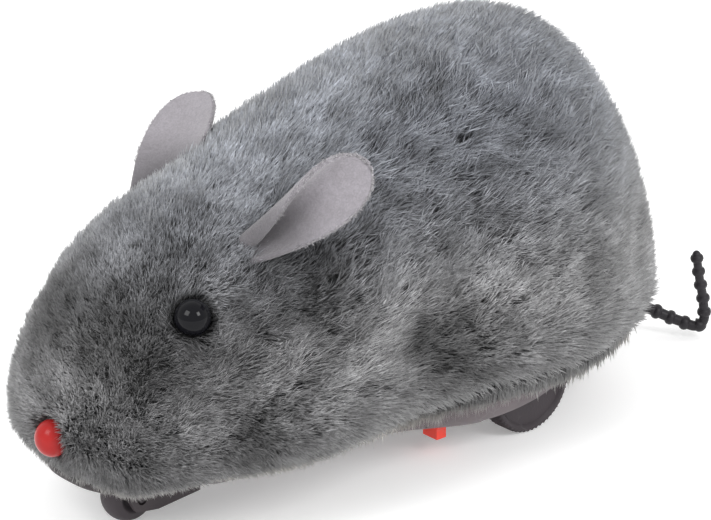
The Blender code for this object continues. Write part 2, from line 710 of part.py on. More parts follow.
# ----------------------------------------------------------------------- tail
def make_tail():
    """The tail: a tapered rod along its route that swells at each ring."""
    chord = np.linalg.norm(np.diff(TAIL_ROUTE, axis=0), axis=1)
    knots = np.concatenate([[0.0], np.cumsum(chord)])
    length = knots[-1]
    middles = np.arange(length - 1.6 * MM, 3.0 * MM, -TAIL_PITCH)[::-1]
    shape = np.array([-1.0, -0.45, 0.45, 1.0]) * RING_HALF
    places = np.concatenate([[0.0, 2.0 * MM],
                             (middles[:, None] + shape).ravel(),
                             [length - 0.3 * MM, length]])
    share = places / length
    rod_radius = TAIL_ROD[0] + (TAIL_ROD[1] - TAIL_ROD[0]) * share
    ring_radius = TAIL_RING[0] + (TAIL_RING[1] - TAIL_RING[0]) * share
    nearest = np.abs(places[:, None] - middles).min(axis=1) / RING_HALF
    swell = np.sqrt(np.clip(1.0 - nearest ** 2, 0.0, 1.0))
    radius = rod_radius + (ring_radius - rod_radius) * swell
    radius[-1] *= 0.6
    route = np.stack([spline(knots, column, places)
                      for column in TAIL_ROUTE.T], axis=-1)
    curve = bpy.data.curves.new("tail", "CURVE")
    curve.dimensions = "3D"
    curve.bevel_depth = TAIL_RING[0]
    curve.bevel_resolution = 2
    curve.use_fill_caps = True
    line = curve.splines.new("POLY")
    line.points.add(len(route) - 1)
    for point, place, size in zip(line.points, route, radius / TAIL_RING[0]):
        point.co = (*place, 1.0)
        point.radius = size
    tail = bpy.data.objects.new("tail", curve)
    TOY.objects.link(tail)
    curve.materials.append(TAIL_VINYL)


# ------------------------------------------------------------------- assembly
make_plush()
make_chassis()
make_door()
make_screws()
make_rear_wheels()
make_caster()
make_switch()
make_tail()
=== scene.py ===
# %% [markdown]
# # A plush toy mouse on wheels
# The toy is a grey plush cover over a plastic chassis.  The construction
# model gives every piece its size and place.  This lesson dresses it: a
# cover with a real pile, felt ears, bead eyes, moulded plastic and rubber.
# Each step says what the piece is on the toy, and why it is made this way.

# %% Load the frame
import json
import math

import bmesh
import bpy
import numpy as np
from mathutils import Matrix, Vector

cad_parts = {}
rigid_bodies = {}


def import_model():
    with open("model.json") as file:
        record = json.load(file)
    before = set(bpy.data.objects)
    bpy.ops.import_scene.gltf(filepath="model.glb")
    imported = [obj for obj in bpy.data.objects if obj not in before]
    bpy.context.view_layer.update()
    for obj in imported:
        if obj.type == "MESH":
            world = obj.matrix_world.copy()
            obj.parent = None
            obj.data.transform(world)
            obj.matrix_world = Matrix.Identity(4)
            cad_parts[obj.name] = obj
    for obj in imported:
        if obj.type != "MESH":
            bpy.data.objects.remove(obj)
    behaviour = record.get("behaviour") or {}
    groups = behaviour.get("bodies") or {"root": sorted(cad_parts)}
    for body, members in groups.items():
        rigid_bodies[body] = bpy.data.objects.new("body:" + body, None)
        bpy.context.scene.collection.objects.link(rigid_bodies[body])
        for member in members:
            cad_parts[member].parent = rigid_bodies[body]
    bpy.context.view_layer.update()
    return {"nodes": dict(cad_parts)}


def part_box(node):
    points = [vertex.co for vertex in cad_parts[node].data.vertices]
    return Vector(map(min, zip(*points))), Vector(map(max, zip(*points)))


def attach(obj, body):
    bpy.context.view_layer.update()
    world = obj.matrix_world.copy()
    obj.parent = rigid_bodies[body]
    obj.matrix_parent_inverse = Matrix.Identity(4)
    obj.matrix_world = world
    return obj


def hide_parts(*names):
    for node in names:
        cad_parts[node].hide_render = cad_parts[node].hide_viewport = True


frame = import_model()
MM = 0.001

# %% [markdown]
# ## Places taken from the frame
# The beads, wheels and switch are already where they belong, so their middles
# and sizes are read from the frame's boxes, and nothing is fitted by hand.


# %% Middles and sizes
def middle(node):
    """Middle of a node's box."""
    low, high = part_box(node)
    return np.array((low + high) / 2)


def size(node):
    """Size of a node's box along X, Y and Z."""
    low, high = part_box(node)
    return np.array(high - low)


def corners(node):
    """Low and high corners of a node's box, as arrays."""
    return [np.array(corner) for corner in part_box(node)]


SIDES = (("left", 1), ("right", -1))         # and the sign of x on each
EYES = {side: middle(f"eye_{side}") for side, _ in SIDES}
EYE_RADIUS = size("eye_left")[0] / 2
NOSE = middle("nose")
NOSE_RADII = size("nose") / 2
print("eye radius mm", round(EYE_RADIUS / MM, 2), "nose at mm", NOSE / MM)

# %% [markdown]
# ## From arrays to meshes
# A surface is worked out as a whole array of points.  One helper turns an
# array of points and an array of face corners into a mesh, another lays a
# grid of points out as quads and welds its seam and its poles.


# %% Mesh helpers
WELD = 1e-7                          # places closer than this are one place


def mesh_from(points, faces):
    """A mesh from (n, 3) points and (m, k) corners, every face with k sides."""
    mesh = bpy.data.meshes.new("surface")
    count, sides = faces.shape
    mesh.vertices.add(len(points))
    mesh.vertices.foreach_set("co", points.astype(np.float32).ravel())
    mesh.loops.add(count * sides)
    mesh.loops.foreach_set("vertex_index", faces.astype(np.int32).ravel())
    mesh.polygons.add(count)
    mesh.polygons.foreach_set(
        "loop_start", np.arange(0, count * sides, sides, dtype=np.int32))
    mesh.update(calc_edges=True)
    return mesh


def grid_faces(rows, columns):
    """Corners of the quads between the points of a (rows, columns) grid."""
    at = np.arange(rows * columns).reshape(rows, columns)
    return np.stack([at[:-1, :-1], at[:-1, 1:], at[1:, 1:], at[1:, :-1]],
                    axis=-1).reshape(-1, 4)


def weld(mesh):
    """Join the places that meet, and turn every face outward."""
    bm = bmesh.new()
    bm.from_mesh(mesh)
    bmesh.ops.remove_doubles(bm, verts=bm.verts, dist=WELD)
    bmesh.ops.recalc_face_normals(bm, faces=bm.faces)
    bm.to_mesh(mesh)
    bm.free()


def grid_mesh(points, sharp=None):
    """A smooth mesh over a grid of points; places that meet are welded.

    A seam is a first and last column at the same places, and a pole is a row
    at one place.  sharp is the angle in degrees past which an edge is hard.
    """
    rows, columns = points.shape[:2]
    mesh = mesh_from(points.reshape(-1, 3), grid_faces(rows, columns))
    weld(mesh)
    finish_shading(mesh, sharp)
    return mesh


def finish_shading(mesh, sharp=None):
    """Smooth shading, with hard edges past an angle where one is given."""
    mesh.shade_smooth()
    if sharp is not None:
        mesh.set_sharp_from_angle(angle=math.radians(sharp))


def link_object(name, data):
    """A new object at the origin, linked to the scene."""
    made = bpy.data.objects.new(name, data)
    bpy.context.scene.collection.objects.link(made)
    return made


def add_piece(name, mesh, body, look, stands_for=()):
    """Link a mesh as a piece that rides on a body and wears a material."""
    mesh.name = name
    piece = link_object(name, mesh)
    mesh.materials.clear()
    mesh.materials.append(look)
    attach(piece, body)
    if stands_for:
        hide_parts(*stands_for)
    return piece


# %% [markdown]
# ## Shared effects
# Grain, mottling and scuffs turn up in more than one finish, so each is a
# node group, built once.  A group only puts out colours, masks and heights;
# the shader stays in the material, where its constants are set on its own
# sockets.


# %% Node helpers
PLACE_INPUT = ("Vector", "Vector", (0, 0, 0))


def new_group(name, inputs, outputs):
    """A shader node group: (name, kind, value) inputs and (name, kind) outputs.

    It comes back with its inputs' and its outputs' sockets, by name.
    """
    group = bpy.data.node_groups.new(name, "ShaderNodeTree")
    for label, kind, value in inputs:
        socket = group.interface.new_socket(label, in_out="INPUT",
                                            socket_type=f"NodeSocket{kind}")
        socket.default_value = value
    for label, kind in outputs:
        group.interface.new_socket(label, in_out="OUTPUT",
                                   socket_type=f"NodeSocket{kind}")
    given = group.nodes.new("NodeGroupInput").outputs
    return group, given, group.nodes.new("NodeGroupOutput").inputs


def feed(tree, socket, value):
    """Link a socket to another one, or set it to a constant."""
    if hasattr(value, "is_output"):
        tree.links.new(value, socket)
    else:
        socket.default_value = value


def node(tree, kind, **settings):
    """A node with its properties set, and inputs given as in_NAME or in_N."""
    made = tree.nodes.new(f"ShaderNode{kind}")
    for key, value in settings.items():
        if key.startswith("in_"):
            label = key[3:]
            feed(tree, made.inputs[int(label) if label.isdigit()
                                   else label.replace("_", " ")], value)
        else:
            setattr(made, key, value)
    return made


def maths(tree, operation, first, second=0.5, third=0.0, clamp=False):
    """One Math node, from numbers or sockets; returns its output."""
    return node(tree, "Math", operation=operation, use_clamp=clamp,
                in_0=first, in_1=second, in_2=third).outputs[0]


def times(tree, first, second, clamp=False):
    """The product of two values; returns its output."""
    return maths(tree, "MULTIPLY", first, second, clamp=clamp)


def blend_colours(tree, share, first, second, how="MIX"):
    """Mix two colours by a share; returns the resulting colour socket."""
    mix = node(tree, "Mix", data_type="RGBA", blend_type=how)
    for index, value in ((0, share), (6, first), (7, second)):
        feed(tree, mix.inputs[index], value)
    return mix.outputs[2]


def tinted(tree, colour, tint):
    """A colour multiplied by a value or another colour."""
    return blend_colours(tree, 1.0, colour, tint, "MULTIPLY")


def distance_to(tree, places, spot):
    """How far each place is from one spot; returns its output."""
    return node(tree, "VectorMath", operation="DISTANCE", in_0=places,
                in_1=tuple(spot)).outputs["Value"]


def ramp(tree, value, low, high, low_out=0.0, high_out=1.0):
    """A smooth step of a value from low to high; returns its output."""
    made = node(tree, "MapRange", interpolation_type="SMOOTHSTEP",
                in_0=value, in_1=low, in_2=high, in_3=low_out, in_4=high_out)
    return made.outputs[0]


def grey(value):
    """A grey colour with alpha."""
    return (value, value, value, 1.0)


def finish_material(name, **constants):
    """A Principled material with its constants set on the shader itself.

    It comes back with its tree, its shader and its Object coordinates.
    """
    made = bpy.data.materials.new(name)
    made.use_nodes = True
    shader = made.node_tree.nodes["Principled BSDF"]
    for label, value in constants.items():
        shader.inputs[label.replace("_", " ")].default_value = value
    places = node(made.node_tree, "TexCoord").outputs["Object"]
    return made, made.node_tree, shader, places


# %% Shared groups: mottling, grain and scuffs
def make_mottle():
    """Soft cloudy noise, put out as a value about 0.5."""
    group, given, out = new_group(
        "mottle", [PLACE_INPUT, ("Scale", "Float", 100.0)],
        [("Value", "Float")])
    cloud = node(group, "TexNoise", in_Vector=given["Vector"],
                 in_Scale=given["Scale"], in_Detail=3.0, in_Roughness=0.6)
    group.links.new(cloud.outputs[0], out["Value"])
    return group


def make_moulded_grain():
    """The fine matt grain and faint flow marks of moulded plastic."""
    group, given, out = new_group(
        "moulded_grain",
        [PLACE_INPUT, ("Grain", "Float", 3000.0), ("Flow", "Float", 60.0)],
        [("Height", "Float"), ("Patches", "Float")])
    fine = node(group, "TexNoise", in_Vector=given["Vector"],
                in_Scale=given["Grain"], in_Detail=2.0)
    flow = node(group, "TexNoise", in_Vector=given["Vector"],
                in_Scale=given["Flow"], in_Detail=4.0, in_Distortion=0.6)
    height = maths(group, "MULTIPLY_ADD", fine.outputs[0], 0.7,
                   times(group, flow.outputs[0], 0.5))
    group.links.new(height, out["Height"])
    group.links.new(flow.outputs[0], out["Patches"])
    return group


def make_scuffs():
    """A mask of thin crossing scratches and small worn spots."""
    group, given, out = new_group(
        "scuffs",
        [PLACE_INPUT, ("Scale", "Float", 260.0), ("Amount", "Float", 0.5)],
        [("Mask", "Float")])
    cells = node(group, "TexVoronoi", feature="DISTANCE_TO_EDGE",
                 in_Vector=given["Vector"], in_Scale=given["Scale"],
                 in_Randomness=1.0)
    lines = ramp(group, cells.outputs["Distance"], 0.0, 0.03, 1.0, 0.0)
    where = node(group, "TexNoise", in_Vector=given["Vector"],
                 in_Scale=90.0, in_Detail=2.0)
    spots = ramp(group, where.outputs[0], 0.52, 0.68)
    mask = times(group, times(group, lines, spots), given["Amount"],
                 clamp=True)
    group.links.new(mask, out["Mask"])
    return group


MOTTLE = make_mottle()
MOULDED_GRAIN = make_moulded_grain()
SCUFFS = make_scuffs()
print("shared groups:", [g.name for g in (MOTTLE, MOULDED_GRAIN, SCUFFS)])


def place_group(tree, group, **values):
    """Put a group into a material, with its inputs set or linked."""
    made = tree.nodes.new("ShaderNodeGroup")
    made.node_tree = group
    for label, value in values.items():
        feed(tree, made.inputs[label], value)
    return made


def add_bump(tree, shader, height, distance, strength=1.0):
    """Feed a height into the shader's normal."""
    bump = node(tree, "Bump", in_Height=height, in_Distance=distance,
                in_Strength=strength)
    tree.links.new(bump.outputs[0], shader.inputs["Normal"])


# %% [markdown]
# ## The plush body's form
# The cover is a pear-shaped bag of plush pulled over the chassis.  Its form
# is a stack of cross-sections, each a rounded superellipse, whose half
# width, top and bottom run smoothly from the muzzle to the rump.  Two angles
# place any point on it: a runs from muzzle to rump, and b runs round from
# the left side over the back.  The form is the one that the pile's tips
# reach; the cloth itself lies one pile's height inside it.

# %% Cross-sections of the body
MUZZLE_Y = corners("plush_head")[0][1]
RUMP_Y = corners("plush_trunk")[1][1]
BODY_MID = (MUZZLE_Y + RUMP_Y) / 2
BODY_HALF = (RUMP_Y - MUZZLE_Y) / 2
# half width, top and bottom at nine equal steps of a, at the tips of the pile
BODY_SECTIONS = np.array([
    (0.0, 21.5, 21.5), (17.6, 37.6, 11.2), (25.4, 52.8, 8.4),
    (32.0, 61.2, 8.0), (32.8, 69.7, 8.5), (36.0, 74.2, 7.8),
    (29.5, 69.6, 8.0), (17.0, 44.5, 13.0), (0.0, 26.2, 26.2),
]) * MM
BODY_WAIST = 0.29                    # height share of the widest level
BODY_ROUND = (2.02, 2.17)            # superellipse powers above and below it


def spline(knots, values, at):
    """Natural cubic spline: the bends solve a tridiagonal set of equations."""
    step = np.diff(knots)
    count = len(knots)
    matrix, right = np.eye(count), np.zeros(count)
    slopes = np.diff(values) / step
    for i in range(1, count - 1):
        matrix[i, i - 1:i + 2] = (step[i - 1], 2 * (step[i - 1] + step[i]),
                                  step[i])
        right[i] = 6 * (slopes[i] - slopes[i - 1])
    bend = np.linalg.solve(matrix, right)
    i = np.clip(np.searchsorted(knots, at) - 1, 0, count - 2)
    s = (knots[i + 1] - at) / step[i]
    t = 1.0 - s
    return (s * values[i] + t * values[i + 1]
            + ((s ** 3 - s) * bend[i] + (t ** 3 - t) * bend[i + 1])
            * step[i] ** 2 / 6)


def power(value, exponent):
    """Signed power, which makes a superellipse of sines and cosines."""
    return np.sign(value) * np.abs(value) ** exponent


def body_profile(a):
    """Half width, top and bottom at angles a; the ends are mirrored past 0."""
    knots = np.linspace(0.0, math.pi, len(BODY_SECTIONS))
    before, after = slice(2, 0, -1), slice(-2, -4, -1)
    angles = np.concatenate([-knots[before], knots,
                             2 * math.pi - knots[after]])
    return [spline(angles, np.concatenate([sign * column[before], column,
                                           sign * column[after]]), a)
            for column, sign in zip(BODY_SECTIONS.T, (-1, 1, 1))]


def body_form(a, b):
    """Point of the body at angles a and b.

    x = half width * cos(b) to a power; z runs up or down from the waist by
    sin(b) to a power; y = middle - half length * cos(a).
    """
    half, top, bottom = body_profile(a)
    waist = bottom + BODY_WAIST * (top - bottom)
    upper = np.sin(b) >= 0.0
    exponent = np.where(upper, 2 / BODY_ROUND[0], 2 / BODY_ROUND[1])
    x = half * power(np.cos(b), exponent)
    z = waist + (np.where(upper, top - waist, waist - bottom)
                 * power(np.sin(b), exponent))
    return np.stack([x, BODY_MID - BODY_HALF * np.cos(a), z], axis=-1)


def unit(vectors):
    """Vectors scaled to length one."""
    return vectors / np.maximum(
        np.linalg.norm(vectors, axis=-1, keepdims=True), 1e-12)


def body_normal(a, b):
    """Outward normal: the cross product of the form's two slopes."""
    step = 2e-3
    along = body_form(a + step, b) - body_form(a - step, b)
    around = body_form(a, b + step) - body_form(a, b - step)
    return unit(np.cross(along, around))


print("widest mm", round(2 * body_form(np.linspace(0.1, 3, 60), 0.0)[:, 0].max()
                         / MM, 1))

# %% [markdown]
# ## How deep the pile is
# Plush has a pile of one height, trimmed shorter over the face.  The skin
# lies below the tips by the pile's standing height, which shrinks from the
# back to the muzzle.

# %% Pile depth and the skin's place
PILE_BODY = 4.0 * MM                 # how far the tips stand above the cloth
PILE_FACE = 3.0 * MM
PILE_MUZZLE = 2.1 * MM
# where along y the pile deepens from muzzle to face, and from face to body
TO_FACE = (NOSE[1] + 2 * MM, NOSE[1] + 22 * MM)
TO_BODY = (NOSE[1] + 26 * MM, NOSE[1] + 52 * MM)


def smooth(value, low, high):
    """Smooth step from 0 at low to 1 at high."""
    t = np.clip((value - low) / (high - low), 0.0, 1.0)
    return t * t * (3 - 2 * t)


def pile_depth(points):
    """Depth of the pile: muzzle, face and body depths blended along y."""
    y = points[..., 1]
    face = smooth(y, *TO_FACE)
    body = smooth(y, *TO_BODY)
    return (PILE_MUZZLE + (PILE_FACE - PILE_MUZZLE) * face
            + (PILE_BODY - PILE_FACE) * body)


def skin_form(a, b):
    """The cloth: the body's form moved in along its normal by the pile."""
    tips = body_form(a, b)
    return tips - body_normal(a, b) * pile_depth(tips)[..., None]


# %% [markdown]
# ## The chassis's plan
# The chassis is a tub.  Its plan is half widths along the toy, rounded at
# both ends by a superellipse, and the tub is a stack of such plans set in or
# out: a rounded bilge, a straight side, and a small rim that the plush is
# tucked over.  The same stack, grown a little, cuts the room for it out of
# the skin.

# %% The tub as a stack of plans
TUB_LOW, TUB_HIGH = corners("chassis")
TUB_FRONT = TUB_LOW[1]
TUB_REAR = 48.3 * MM                 # the tail's socket stands out past it
TUB_SECTIONS = np.array([            # y and half width
    (-70.0, 13.4), (-50.0, 13.3), (-35.0, 13.2), (-20.0, 14.4), (-7.5, 18.0),
    (2.5, 23.2), (12.5, 25.0), (24.5, 24.4), (50.0, 24.4),
]) * MM
TUB_NOSE = (26.0 * MM, 3.0)          # length and power of the rounded front
TUB_STERN = (37.0 * MM, 2.2)         # and of the rounded rear
TUB_STEP = 3.4 * MM                  # how far the bottom rises over the caster
TUB_STEP_Y = (-43.0 * MM, -56.0 * MM)
BILGE = 5.0 * MM                     # radius between bottom and side
RIM_OUT = 1.0 * MM
RIM_HIGH = 1.2 * MM
RIM_ROUND = 0.35 * MM                # radius of the rim's own edges
HULL_CLEAR = 0.35 * MM               # gap between the tub and the skin


def tub_half_width(y):
    """Half width of the plan at y: a spline closed by two superellipses."""
    half = spline(TUB_SECTIONS[:, 0], TUB_SECTIONS[:, 1], y)
    for end, sign, (length, round_off) in ((TUB_FRONT + RIM_OUT, -1, TUB_NOSE),
                                           (TUB_REAR, 1, TUB_STERN)):
        into = np.clip(1 + sign * (y - end) / length, 0.0, 1.0)
        half = half * (1 - into ** round_off) ** (1 / round_off)
    return half


def tub_plan(count):
    """The plan as equally spaced points, with their outward normals."""
    front, rear = TUB_FRONT + RIM_OUT, TUB_REAR
    t = np.linspace(0.0, math.pi, 4000)
    y = (front + rear) / 2 - (rear - front) / 2 * np.cos(t)
    x = tub_half_width(y)
    run = np.concatenate([[0.0], np.cumsum(np.hypot(np.diff(x), np.diff(y)))])
    even = np.linspace(0.0, run[-1], count // 2 + 1)
    right = np.stack([np.interp(even, run, x), np.interp(even, run, y)], -1)
    plan = np.concatenate([right, right[-2:0:-1] * (-1, 1)])
    along = np.roll(plan, -2, axis=0) - np.roll(plan, 2, axis=0)
    normal = np.stack([along[:, 1], -along[:, 0]], axis=-1)
    return plan, unit(normal)


def arc(centre_out, centre_z, radius, start, end, count):
    """(out, z) points of an arc; angles in degrees from straight out."""
    t = np.radians(np.linspace(start, end, count))
    return [(centre_out + radius * math.cos(s), centre_z + radius * math.sin(s))
            for s in t]


def tub_mesh(grow, around, steps, step_up=0.0):
    """The tub's closed mesh, grown by a clearance.

    Its bottom and bilge rise by step_up over the caster.
    """
    low, high = TUB_LOW[2], TUB_HIGH[2]
    side = low + BILGE
    small, edge = RIM_ROUND, RIM_OUT - RIM_ROUND
    levels = arc(-BILGE, side, BILGE, -90, 0, steps)
    levels += arc(edge, side + small, small, -90, 0, 4)
    levels += arc(edge, side + RIM_HIGH - small, small, 0, 90, 4)
    levels += [(0.0, side + RIM_HIGH + 0.1 * MM), (-0.5 * MM, high - 2.0 * MM),
               (-2.5 * MM, high)]
    plan, normal = tub_plan(around)
    rise = step_up * smooth(plan[:, 1], *TUB_STEP_Y)
    rings = []
    for out, z in levels:
        shift = -grow if z < side + small else grow
        share = np.clip((side - z) / BILGE, 0.0, 1.0)
        rings.append(np.column_stack([plan + normal * (out + grow),
                                      z + shift + rise * share]))
    rings = [rings[0] * (0, 1, 1), *rings, rings[-1] * (0, 1, 1)]
    grid = np.array(rings)
    return grid_mesh(np.concatenate([grid, grid[:, :1]], axis=1), 40)


def carve(mesh, cutters, operation="DIFFERENCE"):
    """Cut a mesh with others, one exact Boolean each; returns the result."""
    target = link_object("carving", mesh)
    for tool in cutters:
        step = target.modifiers.new(tool.name, "BOOLEAN")
        step.operation = operation
        step.solver = "EXACT"
        step.object = tool
    evaluated = target.evaluated_get(bpy.context.evaluated_depsgraph_get())
    made = bpy.data.meshes.new_from_object(evaluated)
    bpy.data.objects.remove(target)
    return made


HULL = link_object("hull", tub_mesh(HULL_CLEAR, 200, 8))
print("tub plan mm", round(2 * tub_half_width(np.array([12.5 * MM]))[0] / MM, 1),
      "wide")

# %% [markdown]
# ## The coat's colours
# The plush is one grey cloth with some life in it: cooler on the back,
# and warmer along the hem.  Its colour also carries painted shade, darker
# on the underside, over the face, round the eyes and where the pile parts,
# and painted light, paler along the hem and on the folds.  Skin and pile
# share these markings, so one group makes them from the place on the toy.


# %% Markings, painted light and painted shade of the plush
# where the pile parts and shows its dark roots, its colour darkened there as
# painted shade, or swells into a fold, its colour paler there as painted
# light on the ridge; on both sides alike: middle with x > 0 and reach in mm,
# and how much darker (below nought for paler)
ZONES = (
    ((7.5, -66.0, 40.0), 13.0, 0.54), ((8.0, -54.0, 52.0), 11.0, 0.30),
    ((26.0, -50.0, 21.0), 9.0, 0.40), ((25.0, -34.5, 46.0), 10.0, 0.46),
    ((33.0, -9.0, 27.0), 11.5, 0.58),
    ((32.0, -18.0, 32.0), 5.0, 0.44), ((30.5, -17.5, 40.5), 4.0, -0.40),
    ((31.3, -23.5, 35.0), 4.5, -0.46), ((32.0, -29.5, 29.5), 4.5, -0.42),
    ((31.8, -36.5, 24.5), 4.5, -0.34),
)
ZONE_EDGE = (0.1, 1.4)               # shares of the reach where a zone fades
ZONE_RAGGED = 8.0 * MM               # how far patches push that edge about
FLANK_COLOUR = (0.208, 0.207, 0.211, 1)
BACK_COLOUR = (0.200, 0.210, 0.234, 1)
# the hem is warmer in tone, and painted paler as painted light from below
HEM_WARM_LIT_COLOUR = (0.34, 0.322, 0.296, 1)
EYE_SOCKET_SHADE = (0.3 * MM, 2.2 * MM)      # out from the bead, where painted shadow in its socket darkens the pile
BACK_Z = (34 * MM, 66 * MM)          # from flank colour to back colour
HEM_Z = (9.5 * MM, 14 * MM)          # from hem colour to flank colour
UNDERSIDE_SHADE_Z = (10 * MM, 30 * MM)         # from painted shade on the underside to full tone
FACE_SHADE_Y = (-52 * MM, -22 * MM)        # from slightly darker painted shade over the face
EVEN = (0.3, 0.7)                    # where mottling has most of its values


def zone_share(points):
    """How far the pile is parted (to 1) or swells (to -1) at each point."""
    total = np.zeros(points.shape[:-1])
    mirrored = np.abs(points) * (1, 0, 0) + points * (0, 1, 1)
    for place, reach, darker in ZONES:
        far = np.linalg.norm(mirrored - np.array(place) * MM, axis=-1)
        total += math.copysign(1.0, darker) * smooth(
            far, ZONE_EDGE[1] * reach * MM, ZONE_EDGE[0] * reach * MM)
    return np.clip(total, -1.0, 1.0)


def make_markings_light_shade():
    """Base colour of the plush by place: back, flank, hem and soft patches, with
    painted shade on the underside, the face, round the eyes and in the partings,
    and painted light on the hem and the folds.
    """
    group, given, out = new_group("plush_markings", [PLACE_INPUT],
                                  [("Colour", "Color")])
    place = given["Vector"]
    split = node(group, "SeparateXYZ", in_0=place)
    up = split.outputs[2]
    back = ramp(group, up, *BACK_Z)
    hem = ramp(group, up, *HEM_Z, 1.0, 0.0)
    patch = place_group(group, MOTTLE, Vector=place, Scale=70.0)
    colour = blend_colours(group, back, FLANK_COLOUR, BACK_COLOUR)
    # painted shade on the underside, darker towards the bottom
    underside_shade = ramp(group, up, *UNDERSIDE_SHADE_Z, 0.50, 1.0)
    # painted shade over the face
    face = ramp(group, split.outputs[1], *FACE_SHADE_Y, 0.93, 1.0)
    colour = tinted(group, colour, times(group, underside_shade, face))
    # the hem: warmer, and paler with painted light from below
    colour = blend_colours(group, hem, colour, HEM_WARM_LIT_COLOUR)
    fine = place_group(group, MOTTLE, Vector=place, Scale=210.0)
    tone = ramp(group, patch.outputs[0], *EVEN, 0.74, 1.22)
    fine_tone = ramp(group, fine.outputs[0], *EVEN, 0.78, 1.22)
    tone = times(group, tone, fine_tone)
    mirrored = node(group, "VectorMath", operation="ABSOLUTE", in_0=place)
    mirrored = node(group, "SeparateXYZ", in_0=mirrored.outputs[0])
    folded = node(group, "CombineXYZ", in_0=mirrored.outputs[0],
                  in_1=split.outputs[1], in_2=up)
    # painted shade in the partings, and painted light on the folds
    for middle_at, reach, darker in ZONES:
        far = distance_to(group, folded.outputs[0],
                          (c * MM for c in middle_at))
        ragged = maths(group, "MULTIPLY_ADD", patch.outputs[0], ZONE_RAGGED,
                       far)
        near, past = (share * reach * MM + ZONE_RAGGED / 2
                      for share in ZONE_EDGE)
        shade = ramp(group, ragged, near, past, 1.0 - 1.1 * darker, 1.0)
        tone = times(group, tone, shade)
    # painted shadow in the socket round each bead eye
    for eye in EYES.values():
        ring = ramp(group, distance_to(group, place, eye),
                    EYE_RADIUS + EYE_SOCKET_SHADE[0], EYE_RADIUS + EYE_SOCKET_SHADE[1],
                    0.3, 1.0)
        tone = times(group, tone, ring)
    colour = tinted(group, colour, tone)
    group.links.new(colour, out["Colour"])
    return group


MARKINGS_LIGHT_SHADE = make_markings_light_shade()


def make_coat_material():
    """One fibre: dark at its root, frosted at its tip, and finely flecked.

    The attribute strand holds the place along the fibre and the fibre's own
    tone, both from 0 to 1.
    """
    look, tree, shader, places = finish_material(
        "plush_pile", Roughness=0.62, Sheen_Weight=0.35, Sheen_Roughness=0.4)
    colour = place_group(tree, MARKINGS_LIGHT_SHADE, Vector=places)
    flecks = place_group(tree, MOTTLE, Vector=places, Scale=1500.0)
    fleck = ramp(tree, flecks.outputs[0], *EVEN, 0.68, 1.32)
    strand = node(tree, "Attribute", attribute_name="strand")
    parts = node(tree, "SeparateXYZ", in_0=strand.outputs["Vector"])
    along, tone = parts.outputs[0], parts.outputs[1]
    shade = ramp(tree, along, 0.05, 1.0, 0.09, 1.76)
    own = maths(tree, "MULTIPLY_ADD", tone, 0.7, 0.66)
    tint = times(tree, times(tree, shade, own), fleck)
    result = tinted(tree, colour.outputs[0], tint)
    tree.links.new(result, shader.inputs["Base Color"])
    return look


def make_skin_material():
    """The cloth under the pile: its colours, dark, with knitted loops."""
    look, tree, shader, places = finish_material("plush_cloth", Roughness=0.9)
    colour = place_group(tree, MARKINGS_LIGHT_SHADE, Vector=places)
    pile = place_group(tree, MOTTLE, Vector=places, Scale=900.0)
    shade = ramp(tree, pile.outputs[0], 0.35, 0.7, 0.08, 0.3)
    result = tinted(tree, colour.outputs[0], shade)
    tree.links.new(result, shader.inputs["Base Color"])
    add_bump(tree, shader, pile.outputs[0], 0.4 * MM)
    return look


COAT = make_coat_material()
CLOTH = make_skin_material()
print("plush materials:", COAT.name, CLOTH.name)

# %% [markdown]
# ## The skin
# The cloth is one closed surface on a grid of the two angles, cut open below
# where the tub sits.  One skin stands for the head and the trunk, so that no
# gap shows at the neck.  Its map, OFBake, is the grid itself laid flat.

# %% Build the skin
BAKE_MAP = "OFBake"
MAP_BORDER = 0.01
A_ENDS = (0.02, math.pi - 0.02)
B_ENDS = (-0.5 * math.pi, 1.5 * math.pi)     # once round, from below


def bake_place(a, b):
    """Where a point of the body lies on the flat map, both from 0 to 1."""
    around = (b - B_ENDS[0]) / (2 * math.pi)
    return MAP_BORDER + (1 - 2 * MAP_BORDER) * np.stack(
        [around, a / math.pi], axis=-1)


def add_map(mesh, places):
    """Add the bake map from one (u, v) place for each face corner."""
    layer = mesh.uv_layers.new(name=BAKE_MAP)
    layer.data.foreach_set("uv", places.astype(np.float32).ravel())


def make_skin():
    """The cloth of the cover, with room cut for the tub."""
    rows, columns = 170, 150
    a = np.linspace(*A_ENDS, rows)[:, None]
    b = np.linspace(*B_ENDS, columns)[None, :]
    a, b = np.broadcast_arrays(a, b)
    points = skin_form(a, b)
    points[:, -1] = points[:, 0]
    points[0] = points[0].mean(axis=0)
    points[-1] = points[-1].mean(axis=0)
    faces = grid_faces(rows, columns)
    mesh = mesh_from(points.reshape(-1, 3), faces)
    add_map(mesh, bake_place(a, b).reshape(-1, 2)[faces.ravel()])
    weld(mesh)
    mesh = carve(mesh, [HULL])
    finish_shading(mesh, 50)
    skin = add_piece("plush_skin", mesh, "body", CLOTH,
                     ("plush_head", "plush_trunk"))
    return skin


SKIN = make_skin()
print("skin faces:", len(SKIN.data.polygons))

# %% [markdown]
# ## The lie of the pile
# Pile leans: on this toy it is brushed back and up over the flanks, hangs
# down at the hem, and runs away from the bead eyes and the nose.  One
# function gives that direction anywhere, as a vector pressed flat onto the
# surface and turned a little by slow waves, so that it swirls like real
# plush.


# %% Direction field
# beads that the pile runs away from: middle, how strongly, and reach
PARTINGS = ((EYES["left"], 2.4, 6.5 * MM), (EYES["right"], 0.5, 6.5 * MM),
            (NOSE, 0.6, 6.0 * MM))
FACE_LIE_Y = (-50 * MM, -22 * MM)    # from the face's lie to the body's
HEM_LIE_Z = (10 * MM, 20 * MM)       # from hanging down to the body's lie
RUMP_LIE_Y = (38 * MM, 56 * MM)      # from the body's lie to steeper


